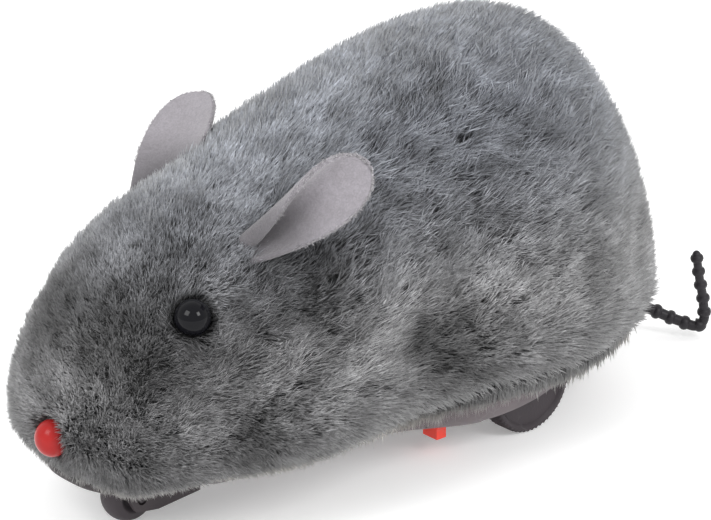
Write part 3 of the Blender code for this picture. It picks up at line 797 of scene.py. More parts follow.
def waves(points, length, seed, count=7):
    """Soft noise from -1 to 1: a sum of sine waves in random directions."""
    random = np.random.default_rng(seed)
    heading = unit(random.normal(size=(count, 3)))
    pace = 2 * math.pi / (length * random.uniform(0.7, 1.5, count))
    phase = random.uniform(0, 2 * math.pi, count)
    total = np.sin(points @ (heading * pace[:, None]).T + phase).sum(axis=-1)
    return np.clip(total / math.sqrt(count), -1.6, 1.6) / 1.6


# waves over the coat: how strong, how long, and the seed of each
WAVES = {
    "swirl": (0.42, 24 * MM, 1), "eddy": (0.38, 8 * MM, 2),
    "face": (0.25, 5 * MM, 3), "height": (0.14, 4.5 * MM, 11),
    "lean": (0.30, 5 * MM, 12), "twist": (0.5, 3.2 * MM, 13),
    "tone": (0.22, 6 * MM, 14), "fine tone": (0.2, 2.6 * MM, 15),
    "fringe": (0.16, 3 * MM, 21),
}


def wave(kind, points):
    """The named wave of WAVES at each point."""
    strength, length, seed = WAVES[kind]
    return strength * waves(points, length, seed)


def flatten(vectors, normals):
    """Vectors with their part along the normals taken away, at length one."""
    away = (vectors * normals).sum(axis=-1, keepdims=True)
    return unit(vectors - away * normals)


def nearness(points, spot, reach):
    """1 at a spot, falling to nothing over a few reaches around it."""
    far = np.linalg.norm(points - spot, axis=-1)
    return np.exp(-(far / reach) ** 2)


def lie_of_pile(points, normals):
    """Unit tangent along which the fibres lean at each point.

    Back and up on the body; straight down near the hem; away from the nose
    over the muzzle; and round each eye as water parts round a stone.
    """
    y, z = points[:, 1], points[:, 2]
    face = 1 - smooth(y, *FACE_LIE_Y)
    hem = 1 - smooth(z, *HEM_LIE_Z)
    rump = smooth(y, *RUMP_LIE_Y)
    body = np.stack([points[:, 0] * 4, np.full(len(y), 1.0) - 0.6 * rump,
                     0.62 + 0.5 * rump], axis=-1)
    from_nose = unit(points - NOSE - (0, 6 * MM, 0)) + (0, 0.45, 0.25)
    lie = body * (1 - face)[:, None] + from_nose * (1.2 * face)[:, None]
    down = np.array([0.0, 0.35, -1.6])
    lie = lie * (1 - hem)[:, None] + down * hem[:, None]
    for bead, parts, reach in PARTINGS:
        lie = lie + parts * unit(points - bead) * nearness(
            points, bead, reach)[:, None]
    lie = flatten(lie, normals)
    side = np.cross(normals, lie)
    turn = (wave("swirl", points) + wave("eddy", points)
            + face * wave("face", points))
    return lie * np.cos(turn)[:, None] + side * np.sin(turn)[:, None]


# %% [markdown]
# ## Where the tufts stand
# The pile is thousands of small tufts, spread evenly over the skin.  Evenly
# means by area, so the form is cut into small cells, each cell gets tufts
# by its area, and the places are taken at equal steps of the running total.
# Nothing grows under the tub, on the beads or inside the ears.

# %% Spread places evenly over the form
CELLS = (420, 420)
rng = np.random.default_rng(7)


def spread_places(count, weight):
    """Angles (a, b) of count places, even by area times a weight function."""
    a_edge = np.linspace(*A_ENDS, CELLS[0] + 1)
    b_edge = np.linspace(*B_ENDS, CELLS[1] + 1)
    a, b = np.meshgrid((a_edge[1:] + a_edge[:-1]) / 2,
                       (b_edge[1:] + b_edge[:-1]) / 2, indexing="ij")
    step = 1e-3
    area = np.linalg.norm(np.cross(
        body_form(a + step, b) - body_form(a - step, b),
        body_form(a, b + step) - body_form(a, b - step)), axis=-1)
    share = np.cumsum((area * weight(body_form(a, b))).ravel())
    at = (np.arange(count) + rng.random(count)) / count * share[-1]
    cell = np.minimum(np.searchsorted(share, at), share.size - 1)
    row, column = np.divmod(cell, CELLS[1])
    return (a_edge[row] + rng.random(count) * np.diff(a_edge)[row],
            b_edge[column] + rng.random(count) * np.diff(b_edge)[column])


def over_tub(points):
    """True where a low point lies within the tub's plan."""
    y = np.clip(points[..., 1], TUB_FRONT + RIM_OUT, TUB_REAR)
    inside = np.abs(points[..., 0]) < tub_half_width(y)
    along = (points[..., 1] > TUB_FRONT) & (points[..., 1] < TUB_REAR)
    return inside & along & (points[..., 2] < 16 * MM)


def tuft_weight(points):
    """Tufts for each unit of area: denser where the pile is short."""
    closer = 1 + 0.9 * (1 - smooth(points[..., 1], -60 * MM, -25 * MM))
    return np.where(over_tub(points), 0.0, closer)


print("share of the form left bare below:",
      round(float((tuft_weight(body_form(*np.meshgrid(
          np.linspace(0.1, 3, 60), np.linspace(-1.5, 4.7, 60)))) == 0).mean()),
          2))

# %% [markdown]
# ## One fibre
# A fibre is a slim closed solid of four corners and four faces: a point at
# the root, two corners side by side where it bends, and a point at the tip.
# A tuft is a handful of them that start spread out on the cloth and lean
# together at their tips, and each has its own length, lift, bend and tone.

# %% Fibres from arrays
FIBRE_HALF = 0.053 * MM              # half its width at the bend
BEND_AT = 0.42                       # share of the length up to the bend
FIBRES_IN_TUFT = 26
TUFTS = 14000
COAT_PIECES = 8
NEEDLE = np.array([(0, 1, 2), (3, 2, 1), (0, 2, 3), (0, 3, 1)])
STRAY_HIGH = 0.9 * MM                # the most a tip stands out past the form
TUFT_REACH = 1.1 * MM                # how far apart the roots of a tuft stand
ROOT_SUNK = 0.25 * MM                # how deep they sit in the cloth
GATHER = (0.1, 0.18)                 # how far tips draw in: mean and spread
LOW_Z = (8 * MM, 15 * MM)            # the lowest pile, which hangs longer
CHIN_Y = (-58 * MM, -42 * MM)        # but not under the chin
FIBRE_HEIGHT = (0.86, 0.2)           # of the tuft's own: mean and spread
LONGEST_RUN = 0.8                    # most that a half leans, of the depth
EAR_CLEAR = 0.75 * MM                # from the middle of an ear's felt
FLOOR_CLEAR = 0.6 * MM
# a fibre's two halves: steepness in degrees, share of the tuft's lean, and
# the least and most it may come to in radians
SLOPES = ((62, 1.0, 0.35, 1.5), (40, 1.3, 0.2, 1.4))
# corners of the four faces on the flat map, in shares of one tuft's patch
PATCH = 0.003
NEEDLE_MAP = np.array([
    [(0.0, -0.5), (-0.25, 0.0), (0.25, 0.0)],
    [(0.0, 0.5), (0.25, 0.0), (-0.25, 0.0)],
    [(0.0, -0.5), (0.25, 0.0), (0.5, 0.5)],
    [(0.0, -0.5), (-0.5, 0.5), (-0.25, 0.0)],
]) * PATCH


def fibre_points(root, bend, tip, half):
    """Four points a fibre: root, two at the bend, tip.  (n, 4, 3)."""
    run = unit(tip - root)
    aside = unit(np.cross(run, rng.normal(size=run.shape)))
    return np.stack([root, bend - half[:, None] * aside,
                     bend + half[:, None] * aside, tip], axis=1)


def needle_mesh(points):
    """Fibres joined into one mesh, from (n, 4, 3) points."""
    faces = NEEDLE[None] + 4 * np.arange(len(points))[:, None, None]
    return mesh_from(points.reshape(-1, 3), faces.reshape(-1, 3))


def fibre_mesh(points, tones, places):
    """Fibres of the coat, with the strand attribute and the bake map.

    points is (n, 4, 3), tones (n,), places (n, 2) on the flat map.
    """
    count = len(points)
    mesh = needle_mesh(points)
    on_map = places[:, None, None, :] + NEEDLE_MAP[None]
    add_map(mesh, np.clip(on_map, 0.0, 1.0))
    along = np.broadcast_to(np.array([0.0, BEND_AT, BEND_AT, 1.0]), (count, 4))
    strand = np.stack([along, np.broadcast_to(tones[:, None], (count, 4)),
                       np.zeros((count, 4))], axis=-1)
    layer = mesh.attributes.new("strand", "FLOAT_VECTOR", "POINT")
    layer.data.foreach_set("vector", strand.astype(np.float32).ravel())
    mesh.shade_smooth()
    return mesh


def near_beads(points, clear):
    """True where a point is closer than clear to the surface of a bead."""
    close = np.zeros(len(points), bool)
    for eye in EYES.values():
        close |= np.linalg.norm(points - eye, axis=-1) < EYE_RADIUS + clear
    off = (points - NOSE) / (NOSE_RADII + clear)
    return close | (np.linalg.norm(off, axis=-1) < 1.0)


def make_tufts():
    """Roots, bends, tips, half widths, tones and map places of all fibres."""
    a, b = spread_places(TUFTS, tuft_weight)
    tips = body_form(a, b)
    normal = body_normal(a, b)
    depth = pile_depth(tips)
    lie = lie_of_pile(tips, normal)
    side = np.cross(normal, lie)
    short = depth / PILE_BODY
    n, k = TUFTS, FIBRES_IN_TUFT
    reach = (TUFT_REACH * (0.62 + 0.38 * short))[:, None] * np.sqrt(
        rng.random((n, k)))
    turn = rng.uniform(0, 2 * math.pi, (n, k))
    offset = (reach * np.cos(turn))[..., None] * lie[:, None]
    offset = offset + (reach * np.sin(turn))[..., None] * side[:, None]
    base = skin_form(a, b)[:, None] - ROOT_SUNK * normal[:, None]
    gather = np.clip(rng.normal(*GATHER, n), 0.0, 0.6)[:, None, None]
    # the tuft's own height, lean and twist, then each fibre's; the pile is
    # low where it parts, high in a fold, and stands up round the nose
    zone = zone_share(tips)
    by_nose = nearness(tips, NOSE, 6 * MM)
    low = 1 - smooth(tips[:, 2], *LOW_Z)
    chin = 1 - smooth(tips[:, 1], *CHIN_Y)
    hem = low * (1 - 1.8 * chin)
    by_ear = nearness(tips, EARS["right"]["root"], 7 * MM)
    by_eye = nearness(tips, EYES["right"], 5.5 * MM)
    tall = (1.0 + wave("height", tips) - 0.2 * zone
            + 0.5 * by_nose + 0.5 * hem - 0.4 * by_ear + 0.5 * by_eye)
    tall = tall[:, None] * np.clip(rng.normal(*FIBRE_HEIGHT, (n, k)), 0.4, 1.2)
    lean = (wave("lean", tips) + rng.normal(0.0, 0.1, n))[:, None]
    lean = lean + rng.normal(0, 0.20, (n, k)) + 0.45 * zone[:, None]
    lean = lean + 0.6 * by_nose[:, None]
    twist = (wave("twist", tips) + rng.normal(0.0, 0.12, n))[:, None]
    twist = twist + rng.normal(0, 0.36, (n, k))
    heading = (lie[:, None] * np.cos(twist)[..., None]
               + side[:, None] * np.sin(twist)[..., None])
    # heights of bend and tip above the cloth, then how far each leans over
    height = np.minimum(depth[:, None] * tall,
                        (depth + STRAY_HIGH * (1 + 1.3 * hem.clip(0)))[:, None])
    slope = np.stack([np.clip(math.radians(steep) + share * lean, least, most)
                      for steep, share, least, most in SLOPES], axis=-1)
    rise = 0.5 * height[..., None]
    run = np.minimum(rise / np.tan(slope), LONGEST_RUN * depth[:, None, None])
    first, second = (rise * normal[:, None] + run[..., i:i + 1] * heading
                     for i in (0, 1))
    root = base + offset
    bend = base + offset * (1 - 0.35 * gather) + first
    tip = base + offset * (1 - gather) + first + second
    half = FIBRE_HALF * (0.7 + 0.3 * short)[:, None] * rng.uniform(
        0.75, 1.2, (n, k))
    tone = np.clip((0.5 + wave("tone", tips) + wave("fine tone", tips)
                    + rng.normal(0.0, 0.08, n))[:, None]
                   + rng.normal(0.0, 0.24, (n, k)), 0.0, 1.0)
    place = bake_place(a, b)[:, None] + np.zeros((n, k, 1))
    order = np.argsort(a)
    return [value[order].reshape(n * k, *value.shape[2:])
            for value in (root, bend, tip, half, tone, place)]


def keep_clear(root, bend, tip, ear_points):
    """Mask of the fibres that stay off the beads, the ears and the floor."""
    keep = ~(near_beads(root, 0.5 * MM) | near_beads(bend, 0.05 * MM)
             | near_beads(tip, 0.0))
    reach = 2 * MM
    for points in ear_points:
        low, high = points.min(axis=0) - reach, points.max(axis=0) + reach
        near = np.flatnonzero(((tip > low) & (tip < high)).all(axis=1) & keep)
        for start in range(0, len(near), 2000):
            part = near[start:start + 2000]
            for spot in (bend[part], tip[part]):
                gap = np.linalg.norm(spot[:, None] - points[None], axis=-1)
                keep[part] &= gap.min(axis=1) > EAR_CLEAR
    return keep & (tip[:, 2] > FLOOR_CLEAR)


# %% [markdown]
# ## Felt ears
# The ears are die-cut from felt and sewn in at the root, so that they roll
# into a half cone there and open out towards the tip.  Each is a sheet: its
# blank's half width along its length, and an arc across whose turn shrinks
# from root to tip.  Felt is thick, so the sheet gets real thickness.

# %% Ear blanks and how they are rolled
FELT = 1.0 * MM
EAR_LENGTH = 26.0 * MM
EAR_SUNK = 5.0 * MM                  # length hidden in the pile
EAR_HALF_BASE = 4.6 * MM
EAR_HALF_WIDE = 6.6 * MM
EAR_FULL = 0.65                      # share of the length where it is widest
EAR_ROOT_SHADE = (1 * MM, 14 * MM)         # out from the root, where painted shade in the rolled cone fades
EARS = {
    "left": dict(root=np.array([17.4, -38.6, 54.2]) * MM,
                 along=(0.655, 0.467, 0.594), facing=(0.62, -0.62, 0.45),
                 curls=((290.0, 45.0), (70.0, 10.0))),
    "right": dict(root=np.array([-14.2, -36.3, 52.7]) * MM,
                  along=(-0.465, 0.745, 0.478), facing=(0.02, -0.50, 0.87),
                  curls=((42.0, 14.0), (42.0, 14.0))),
}


def ear_blank(u):
    """Half width of the flat blank at share u of its length."""
    swell = np.sin(0.5 * math.pi * np.clip(u / EAR_FULL, 0.0, 1.0))
    half = EAR_HALF_BASE + (EAR_HALF_WIDE - EAR_HALF_BASE) * swell
    return half * np.sqrt(np.clip(1.0 - u ** 5, 0.0, 1.0))


def ear_form(u, v, root, along, facing, curls):
    """Middle surface of an ear at u from root to tip and v across, -1 to 1.

    Each half of a section is an arc of length w(u)|v| that turns through
    curl(u), so its radius is w / curl.
    """
    half = ear_blank(u)
    front, rear = curls
    start = np.where(v < 0, front[0], rear[0])
    end = np.where(v < 0, front[1], rear[1])
    curl = np.radians(start + (end - start) * u ** 0.7)
    side = np.sign(v) * half / curl * np.sin(np.abs(v) * curl)
    lift = half / curl * (1 - np.cos(np.abs(v) * curl))
    along = unit(np.array(along))
    across = unit(np.cross(along, facing))
    up = np.cross(across, along)
    start_at = root - along * EAR_SUNK
    return (start_at + (u * EAR_LENGTH)[..., None] * along
            + side[..., None] * across + lift[..., None] * up)


def ear_grid(side, rows=64, columns=49):
    """The middle surface as a grid; rows crowd together at the round tip."""
    u = np.sin(np.linspace(0.0, 0.5 * math.pi, rows))[:, None]
    v = np.sin(np.linspace(-0.5 * math.pi, 0.5 * math.pi, columns))[None, :]
    u, v = np.broadcast_arrays(u, v)
    return ear_form(u, v, **EARS[side])


def make_felt(name, low, high):
    """Pressed felt: matted fibres and faint flecks, with painted shade near the
    root.
    """
    look, tree, shader, places = finish_material(
        name, Roughness=0.95, Sheen_Weight=0.35, Sheen_Roughness=0.5)
    mat = node(tree, "TexNoise", in_Vector=places, in_Scale=1600.0,
               in_Detail=4.0, in_Roughness=0.75, in_Distortion=1.5)
    patch = place_group(tree, MOTTLE, Vector=places, Scale=260.0)
    colour = blend_colours(tree, patch.outputs[0], low, high)
    shade = ramp(tree, mat.outputs[0], 0.35, 0.7, 0.82, 1.08)
    # painted shade where each ear rolls into its cone at the root
    for ear in EARS.values():
        root_shade = ramp(tree, distance_to(tree, places, ear["root"]), *EAR_ROOT_SHADE,
                    0.38, 1.0)
        shade = times(tree, shade, root_shade)
    tree.links.new(tinted(tree, colour, shade), shader.inputs["Base Color"])
    add_bump(tree, shader, mat.outputs[0], 0.18 * MM, 0.8)
    return look


FELT_LOOK = make_felt("lilac_felt", (0.235, 0.219, 0.235, 1),
                      (0.310, 0.292, 0.320, 1))
FUZZ_LOOK = make_felt("lilac_fuzz", (0.50, 0.48, 0.50, 1),
                      (0.62, 0.60, 0.63, 1))


def felt_sheet(grid):
    """A grid thickened to felt: two faces half a thickness off, and a rim."""
    along = np.gradient(grid, axis=0)
    across = np.gradient(grid, axis=1)
    normal = unit(np.cross(along, across))
    turns = np.linspace(-0.5 * math.pi, 0.5 * math.pi, 5)[1:-1]
    top, under = grid + normal * FELT / 2, grid - normal * FELT / 2
    out_left = unit(grid[:, :1] - grid[:, 1:2])
    out_right = unit(grid[:, -1:] - grid[:, -2:-1])

    def rim(edge, normal_here, outward, order):
        return [edge + FELT / 2 * (0.45 * math.cos(t) * outward
                                   + math.sin(t) * normal_here)
                for t in order]
    left = rim(grid[:, :1], normal[:, :1], out_left, turns)
    right = rim(grid[:, -1:], normal[:, -1:], out_right, turns[::-1])
    loop = np.concatenate([*left, top, *right, under[:, ::-1],
                           left[0]], axis=1)
    first, last = (np.broadcast_to(end.mean(axis=1, keepdims=True), end.shape)
                   for end in (loop[:1], loop[-1:]))
    return grid_mesh(np.concatenate([first, loop, last]), 60)


def make_ears():
    """Both ears, as felt cut to its blank's size."""
    for side in EARS:
        ear = add_piece(f"felt_ear_{side}", felt_sheet(ear_grid(side)),
                        "body", FELT_LOOK, (f"ear_{side}",))


make_ears()

# %% [markdown]
# ## The ears' frayed edges
# A halo of short loose fibres frays the cut edges of the felt.  They are
# paler than the sheet, as single fibres against the light are.

# %% Loose fibres along the ears' cut edges
FUZZ = 1200                          # on each ear
FUZZ_HALF = 0.03 * MM                # half a loose fibre's width
FUZZ_LENGTH = (0.35, 0.95)           # in mm


def make_fuzz(side):
    """Loose fibres that stand off the cut edge of one ear."""
    grid = ear_grid(side, 80, 41)
    row = rng.integers(16, 79, FUZZ)
    edge = rng.choice([0, 40], FUZZ)
    at = grid[row, edge]
    outward = unit(at - grid[row, np.where(edge == 0, 2, 38)])
    along = unit(grid[row + 1, edge] - grid[row - 1, edge])
    normal = np.cross(along, outward)
    root = at + normal * rng.uniform(-0.45, 0.45, (FUZZ, 1)) * FELT
    way = unit(outward + normal * rng.normal(0, 0.5, (FUZZ, 1))
               + along * rng.normal(0, 0.7, (FUZZ, 1)))
    length = rng.uniform(*FUZZ_LENGTH, (FUZZ, 1)) * MM
    bend = root + 0.5 * length * way
    tip = bend + 0.5 * length * unit(way + 0.3 * rng.normal(size=way.shape))
    points = fibre_points(root, bend, tip, np.full(FUZZ, FUZZ_HALF))
    return add_piece(f"felt_fuzz_{side}", needle_mesh(points), "body",
                     FUZZ_LOOK)


print("fuzz:", [make_fuzz(side).name for side in EARS])

# %% [markdown]
# ## The coat
# All fibres are worked out at once, those that would cross a bead or an ear
# are dropped, and the rest are cut into pieces from the muzzle to the rump,
# each small enough to keep whole.


# %% Build the coat
def make_coat():
    """The pile as COAT_PIECES meshes, in bands from the muzzle to the rump."""
    fibres = make_tufts()
    ears = [ear_grid(side, 30, 21)[9:].reshape(-1, 3) for side in EARS]
    keep = keep_clear(*fibres[:3], ears)
    root, bend, tip, half, tone, place = (value[keep] for value in fibres)
    points = fibre_points(root, bend, tip, half)
    bands = np.array_split(np.arange(len(root)), COAT_PIECES)
    for number, band in enumerate(bands, 1):
        mesh = fibre_mesh(points[band], tone[band], place[band])
        add_piece(f"plush_coat_{number}", mesh, "body", COAT)
    print("fibres:", len(root), "triangles a piece:",
          len(NEEDLE) * max(len(band) for band in bands))


make_coat()

# %% [markdown]
# ## The fringe
# The cover ends where it is tucked in over the tub's rim.  The pile of that
# last edge has no cloth below it to lie on, so it hangs down as a fringe and
# hides the rim.

# %% The fringe that hangs over the tub's rim
HEM_FIBRES = 15000
HEM_OUT = (2.0, 4.6)                 # roots outside the tub's plan, in mm
HEM_SUNK = 3.2 * MM                  # and above the form's underside
HEM_FALL = (4.1, 6.1)                # how far tips hang down, in mm
HEM_IN = (0.2, 1.8)                  # and turn back in, in mm


def angles_below(x, y):
    """Angles of the form's underside at places seen from above."""
    a = np.arccos(np.clip((BODY_MID - y) / BODY_HALF, -1.0, 1.0))
    share = np.clip(np.abs(x) / body_profile(a)[0], 0.0, 1.0)
    lift = np.arccos(share ** (BODY_ROUND[1] / 2))
    return a, np.where(x >= 0, -lift, math.pi + lift)


def make_hem():
    """The cut edge's pile, from over the front wheel round the rear."""
    plan, outward = tub_plan(1600)
    behind = np.flatnonzero(plan[:, 1] > -40 * MM)
    at = rng.choice(behind, HEM_FIBRES)
    plan, outward = plan[at], np.column_stack([outward[at], 0 * at])
    out = rng.uniform(*HEM_OUT, (HEM_FIBRES, 1)) * MM
    root = np.column_stack([plan, 0 * at]) + outward * out
    a, b = angles_below(root[:, 0], root[:, 1])
    root[:, 2] = body_form(a, b)[:, 2] + HEM_SUNK
    fall = (rng.uniform(*HEM_FALL, HEM_FIBRES) * (1 + wave("fringe", root))
            * smooth(root[:, 1], -54 * MM, -30 * MM))
    drift = np.column_stack([rng.normal(0.0, 0.7, HEM_FIBRES),
                             rng.normal(0.5, 0.8, HEM_FIBRES), -fall]) * MM
    inward = np.minimum(rng.uniform(*HEM_IN, (HEM_FIBRES, 1)) * MM,
                        out - 1.5 * MM)
    tip = root + drift - outward * inward
    bend = 0.6 * root + 0.4 * tip + outward * 0.45 * MM
    half = FIBRE_HALF * rng.uniform(0.8, 1.3, HEM_FIBRES)
    tone = np.clip(rng.normal(0.5, 0.35, HEM_FIBRES), 0.0, 1.0)
    mesh = fibre_mesh(fibre_points(root, bend, tip, half), tone,
                      bake_place(a, b))
    return add_piece("plush_coat_hem", mesh, "body", COAT)


make_hem()

# %% [markdown]
# ## Beads for the eyes and the nose
# The eyes are glossy black beads and the nose is a red one, moulded in two
# halves, so a hair-thin mould line runs round each.  A bead is a ball whose
# radius swells a little at that line.


# %% Build the beads
LINE_WIDE = 0.03                     # as a share of the radius


def bead_form(t, p, middle_at, radii, line):
    """Ball at angle t from the rear pole and p round it, with a mould line.

    Each radius is multiplied by 1 + line * exp(-(cos(t) / LINE_WIDE) squared).
    """
    swell = 1 + line * np.exp(-(np.cos(t) / LINE_WIDE) ** 2)
    ball = np.stack([np.sin(t) * np.cos(p), np.cos(t), np.sin(t) * np.sin(p)],
                    axis=-1)
    return middle_at + ball * radii * swell[..., None]


def make_gloss(name, deep, patch, roughness):
    """Glossy bead: one deep colour, clouded a little, with a smooth skin."""
    look, tree, shader, places = finish_material(name, Specular_IOR_Level=0.16)
    cloud = place_group(tree, MOTTLE, Vector=places, Scale=420.0)
    tree.links.new(blend_colours(tree, cloud.outputs[0], deep, patch),
                   shader.inputs["Base Color"])
    rough = ramp(tree, cloud.outputs[0], 0.3, 0.8, roughness * 0.6,
                 roughness * 1.8)
    tree.links.new(rough, shader.inputs["Roughness"])
    return look


BLACK_BEAD = make_gloss("black_bead", (0.002, 0.002, 0.003, 1),
                        (0.004, 0.004, 0.006, 1), 0.05)
RED_BEAD = make_gloss("red_bead", (0.27, 0.012, 0.013, 1),
                      (0.36, 0.022, 0.020, 1), 0.14)


def make_beads():
    """Two eyes and a nose, each in the place of its CAD ball."""
    t, p = np.meshgrid(np.linspace(0, math.pi, 61),
                       np.linspace(0, 2 * math.pi, 73), indexing="ij")
    for side, place in EYES.items():
        grid = bead_form(t, p, place, EYE_RADIUS, 0.006)
        add_piece(f"bead_eye_{side}", grid_mesh(grid), "body", BLACK_BEAD,
                  (f"eye_{side}",))
    grid = bead_form(t, p, NOSE, NOSE_RADII, 0.008)
    add_piece("bead_nose", grid_mesh(grid), "body", RED_BEAD,
              ("nose",))


make_beads()
print("beads at mm:", {k: np.round(v / MM, 1).tolist() for k, v in EYES.items()})

# %% [markdown]
# ## Moulded plastic and rubber
# The chassis, fork and door are satin ABS: a fine matt grain, faint flow
# patches and a few scuffs.  The tyres and the tail are softer and duller.
# One function makes them all from a colour and a few sizes.  The front of
# the chassis is painted darker, a painted shadow under the chin.


# %% Plastic, rubber and steel finishes
def make_moulded(name, colour, roughness, bump, scuffed, grain=3000.0,
                 painted_shadow_y=None, **constants):
    """Moulded plastic or rubber with grain, flow patches and scuffs.

    painted_shadow_y, if given, is the stretch of y over which it turns dark to
    the front: a painted shadow.
    """
    look, tree, shader, places = finish_material(name, **constants)
    skin = place_group(tree, MOULDED_GRAIN, Vector=places, Grain=grain,
                       Flow=70.0)
    worn = place_group(tree, SCUFFS, Vector=places, Scale=300.0,
                       Amount=scuffed)
    patch = ramp(tree, skin.outputs["Patches"], *EVEN, 0.88, 1.12)
    if painted_shadow_y is not None:
        # painted shadow: the colour turns dark towards the front
        along = node(tree, "SeparateXYZ", in_0=places).outputs[1]
        patch = times(tree, patch, ramp(tree, along, *painted_shadow_y, 0.3, 1.0))
    base = tinted(tree, (*colour, 1.0), patch)
    pale = tuple(0.45 * c + 0.18 for c in colour)
    tree.links.new(blend_colours(tree, worn.outputs[0], base, (*pale, 1.0)),
                   shader.inputs["Base Color"])
    rough = maths(tree, "MULTIPLY_ADD", skin.outputs["Patches"], 0.16,
                  roughness - 0.08)
    rough = maths(tree, "ADD", rough, times(tree, worn.outputs[0], 0.2))
    tree.links.new(rough, shader.inputs["Roughness"])
    add_bump(tree, shader, skin.outputs["Height"], bump)
    return look


def make_steel():
    """Plated steel with fine turning marks."""
    look, tree, shader, places = finish_material("steel", Metallic=1.0)
    marks = node(tree, "TexNoise", in_Vector=places, in_Scale=2400.0,
                 in_Detail=3.0)
    tone = blend_colours(tree, marks.outputs[0], grey(0.42), grey(0.62))
    tree.links.new(tone, shader.inputs["Base Color"])
    tree.links.new(ramp(tree, marks.outputs[0], 0.2, 0.8, 0.22, 0.42),
                   shader.inputs["Roughness"])
    return look


# the chassis's colour carries a painted shadow under the chin, at its front
CHASSIS_PLASTIC = make_moulded("chassis_plastic", (0.118, 0.100, 0.106), 0.40,
                               0.03 * MM, 0.35, painted_shadow_y=(-62 * MM, -36 * MM),
                               Specular_IOR_Level=0.3)
FORK_PLASTIC = make_moulded("fork_plastic", (0.055, 0.046, 0.050), 0.42,
                            0.03 * MM, 0.3, Specular_IOR_Level=0.25)
TYRE_RUBBER = make_moulded("tyre_rubber", (0.046, 0.038, 0.043), 0.55,
                           0.05 * MM, 0.45, 2200.0, Specular_IOR_Level=0.3)
TAIL_VINYL = make_moulded("tail_vinyl", (0.020, 0.018, 0.021), 0.42,
                          0.03 * MM, 0.2, Specular_IOR_Level=0.25)
KNOB_PLASTIC = make_moulded("knob_plastic", (0.90, 0.055, 0.030), 0.42,
                            0.02 * MM, 0.25)
STEEL = make_steel()
print("moulded finishes:", CHASSIS_PLASTIC.name, TYRE_RUBBER.name)

# %% [markdown]
# ## The chassis
# The tub is built as a fine stack of plans and then cut the way a mould
# would form it: arches and wells for the rear wheels, a round well and a
# bore for the caster's fork, a slot for the switch, a recess for the battery
# door and round recesses for the screws.  The cuts take their places from the
# wheels, door and screws in the frame.


# %% Cutters
def link_solid(name, bm):
    """A finished bmesh as a helper object for a Boolean."""
    mesh = bpy.data.meshes.new(name)
    bm.to_mesh(mesh)
    bm.free()
    return link_object(name, mesh)


def round_cutter(name, radius, low, high, place, turn=None, sides=64):
    """A cylinder from low to high along Z, or along a turned axis."""
    bm = bmesh.new()
    bmesh.ops.create_cone(bm, cap_ends=True, segments=sides, radius1=radius,
                          radius2=radius, depth=high - low)
    bmesh.ops.translate(bm, vec=(0, 0, (low + high) / 2), verts=bm.verts)
    if turn is not None:
        bmesh.ops.transform(bm, matrix=turn, verts=bm.verts)
    bmesh.ops.translate(bm, vec=Vector(place), verts=bm.verts)
    return link_solid(name, bm)


def box_cutter(name, low, high):
    """A box between two corners."""
    low, high = Vector(low), Vector(high)
    bm = bmesh.new()
    bmesh.ops.create_cube(bm, size=1.0)
    bmesh.ops.scale(bm, vec=high - low, verts=bm.verts)
    bmesh.ops.translate(bm, vec=(low + high) / 2, verts=bm.verts)
    return link_solid(name, bm)


def prism_cutter(name, outline, x_low, x_high):
    """A (y, z) outline stretched along X."""
    count = len(outline)
    points = np.array([(x, y, z) for x in (x_low, x_high) for y, z in outline])
    sides = [(i, (i + 1) % count, (i + 1) % count + count, i + count)
             for i in range(count)]
    mesh = bpy.data.meshes.new(name)
    mesh.from_pydata(points.tolist(), [], [*sides, tuple(range(count)),
                                           tuple(range(count, 2 * count))])
    weld(mesh)
    return link_object(name, mesh)


TO_X = Matrix.Rotation(math.radians(90), 4, "Y")
TO_Y = Matrix.Rotation(math.radians(-90), 4, "X")
SCREWS = [f"chassis_screw_{i}" for i in range(1, 5)] + ["door_screw"]
WELL_CLEAR = 1.2 * MM
AXLE_CLEAR = 0.5 * MM
DOOR_GAP = 0.3 * MM
PLAY = 0.4 * MM
PIVOT_Y = -52.7 * MM                 # the fork turns about this line
CASTER_WELL = 10.2 * MM
FORK_PLATE_TOP = 12.2 * MM
FORK_PIN = 1.8 * MM
SWITCH_TRAVEL = 2.6 * MM
KNOB_FLANGE = (1.3 * MM, 1.15 * MM)  # how far it stands out along x and y
FLANGE_THICK = 1.4 * MM
SCREW_ROOM = 1.4 * MM                # recess above the face of a screw
BOSS_RADIUS = 2.9 * MM               # of the tail's socket
TAIL_BORE = 1.9 * MM
TAIL_Z = 9.0 * MM
# corners of the skirt's edge over a rear wheel, y and z
ARCH = [(5.5 * MM, -MM), (5.5 * MM, 7.4 * MM), (34.5 * MM, 11.2 * MM),
        (34.5 * MM, -MM)]


def wheel_place(side):
    """A rear wheel's inner and outer |x|, its middle's y and its radius."""
    low, high = corners(f"rear_wheel_{side}")
    inner, outer = sorted(abs(x) for x in (low[0], high[0]))
    return inner, outer, (low[1] + high[1]) / 2, (high[2] - low[2]) / 2


def wheel_cutters(side, sign):
    """The skirt's arch and the round well of one rear wheel."""
    inner, outer, y, radius = wheel_place(side)
    inner, outer = inner - WELL_CLEAR, outer + WELL_CLEAR
    arch = sorted((sign * inner, sign * 2 * outer))
    well = sorted((sign * inner, sign * outer))
    return [prism_cutter(f"cut_arch_{side}", ARCH, *arch),
            round_cutter(f"cut_well_{side}", radius + WELL_CLEAR, *well,
                         (0, y, radius), TO_X)]


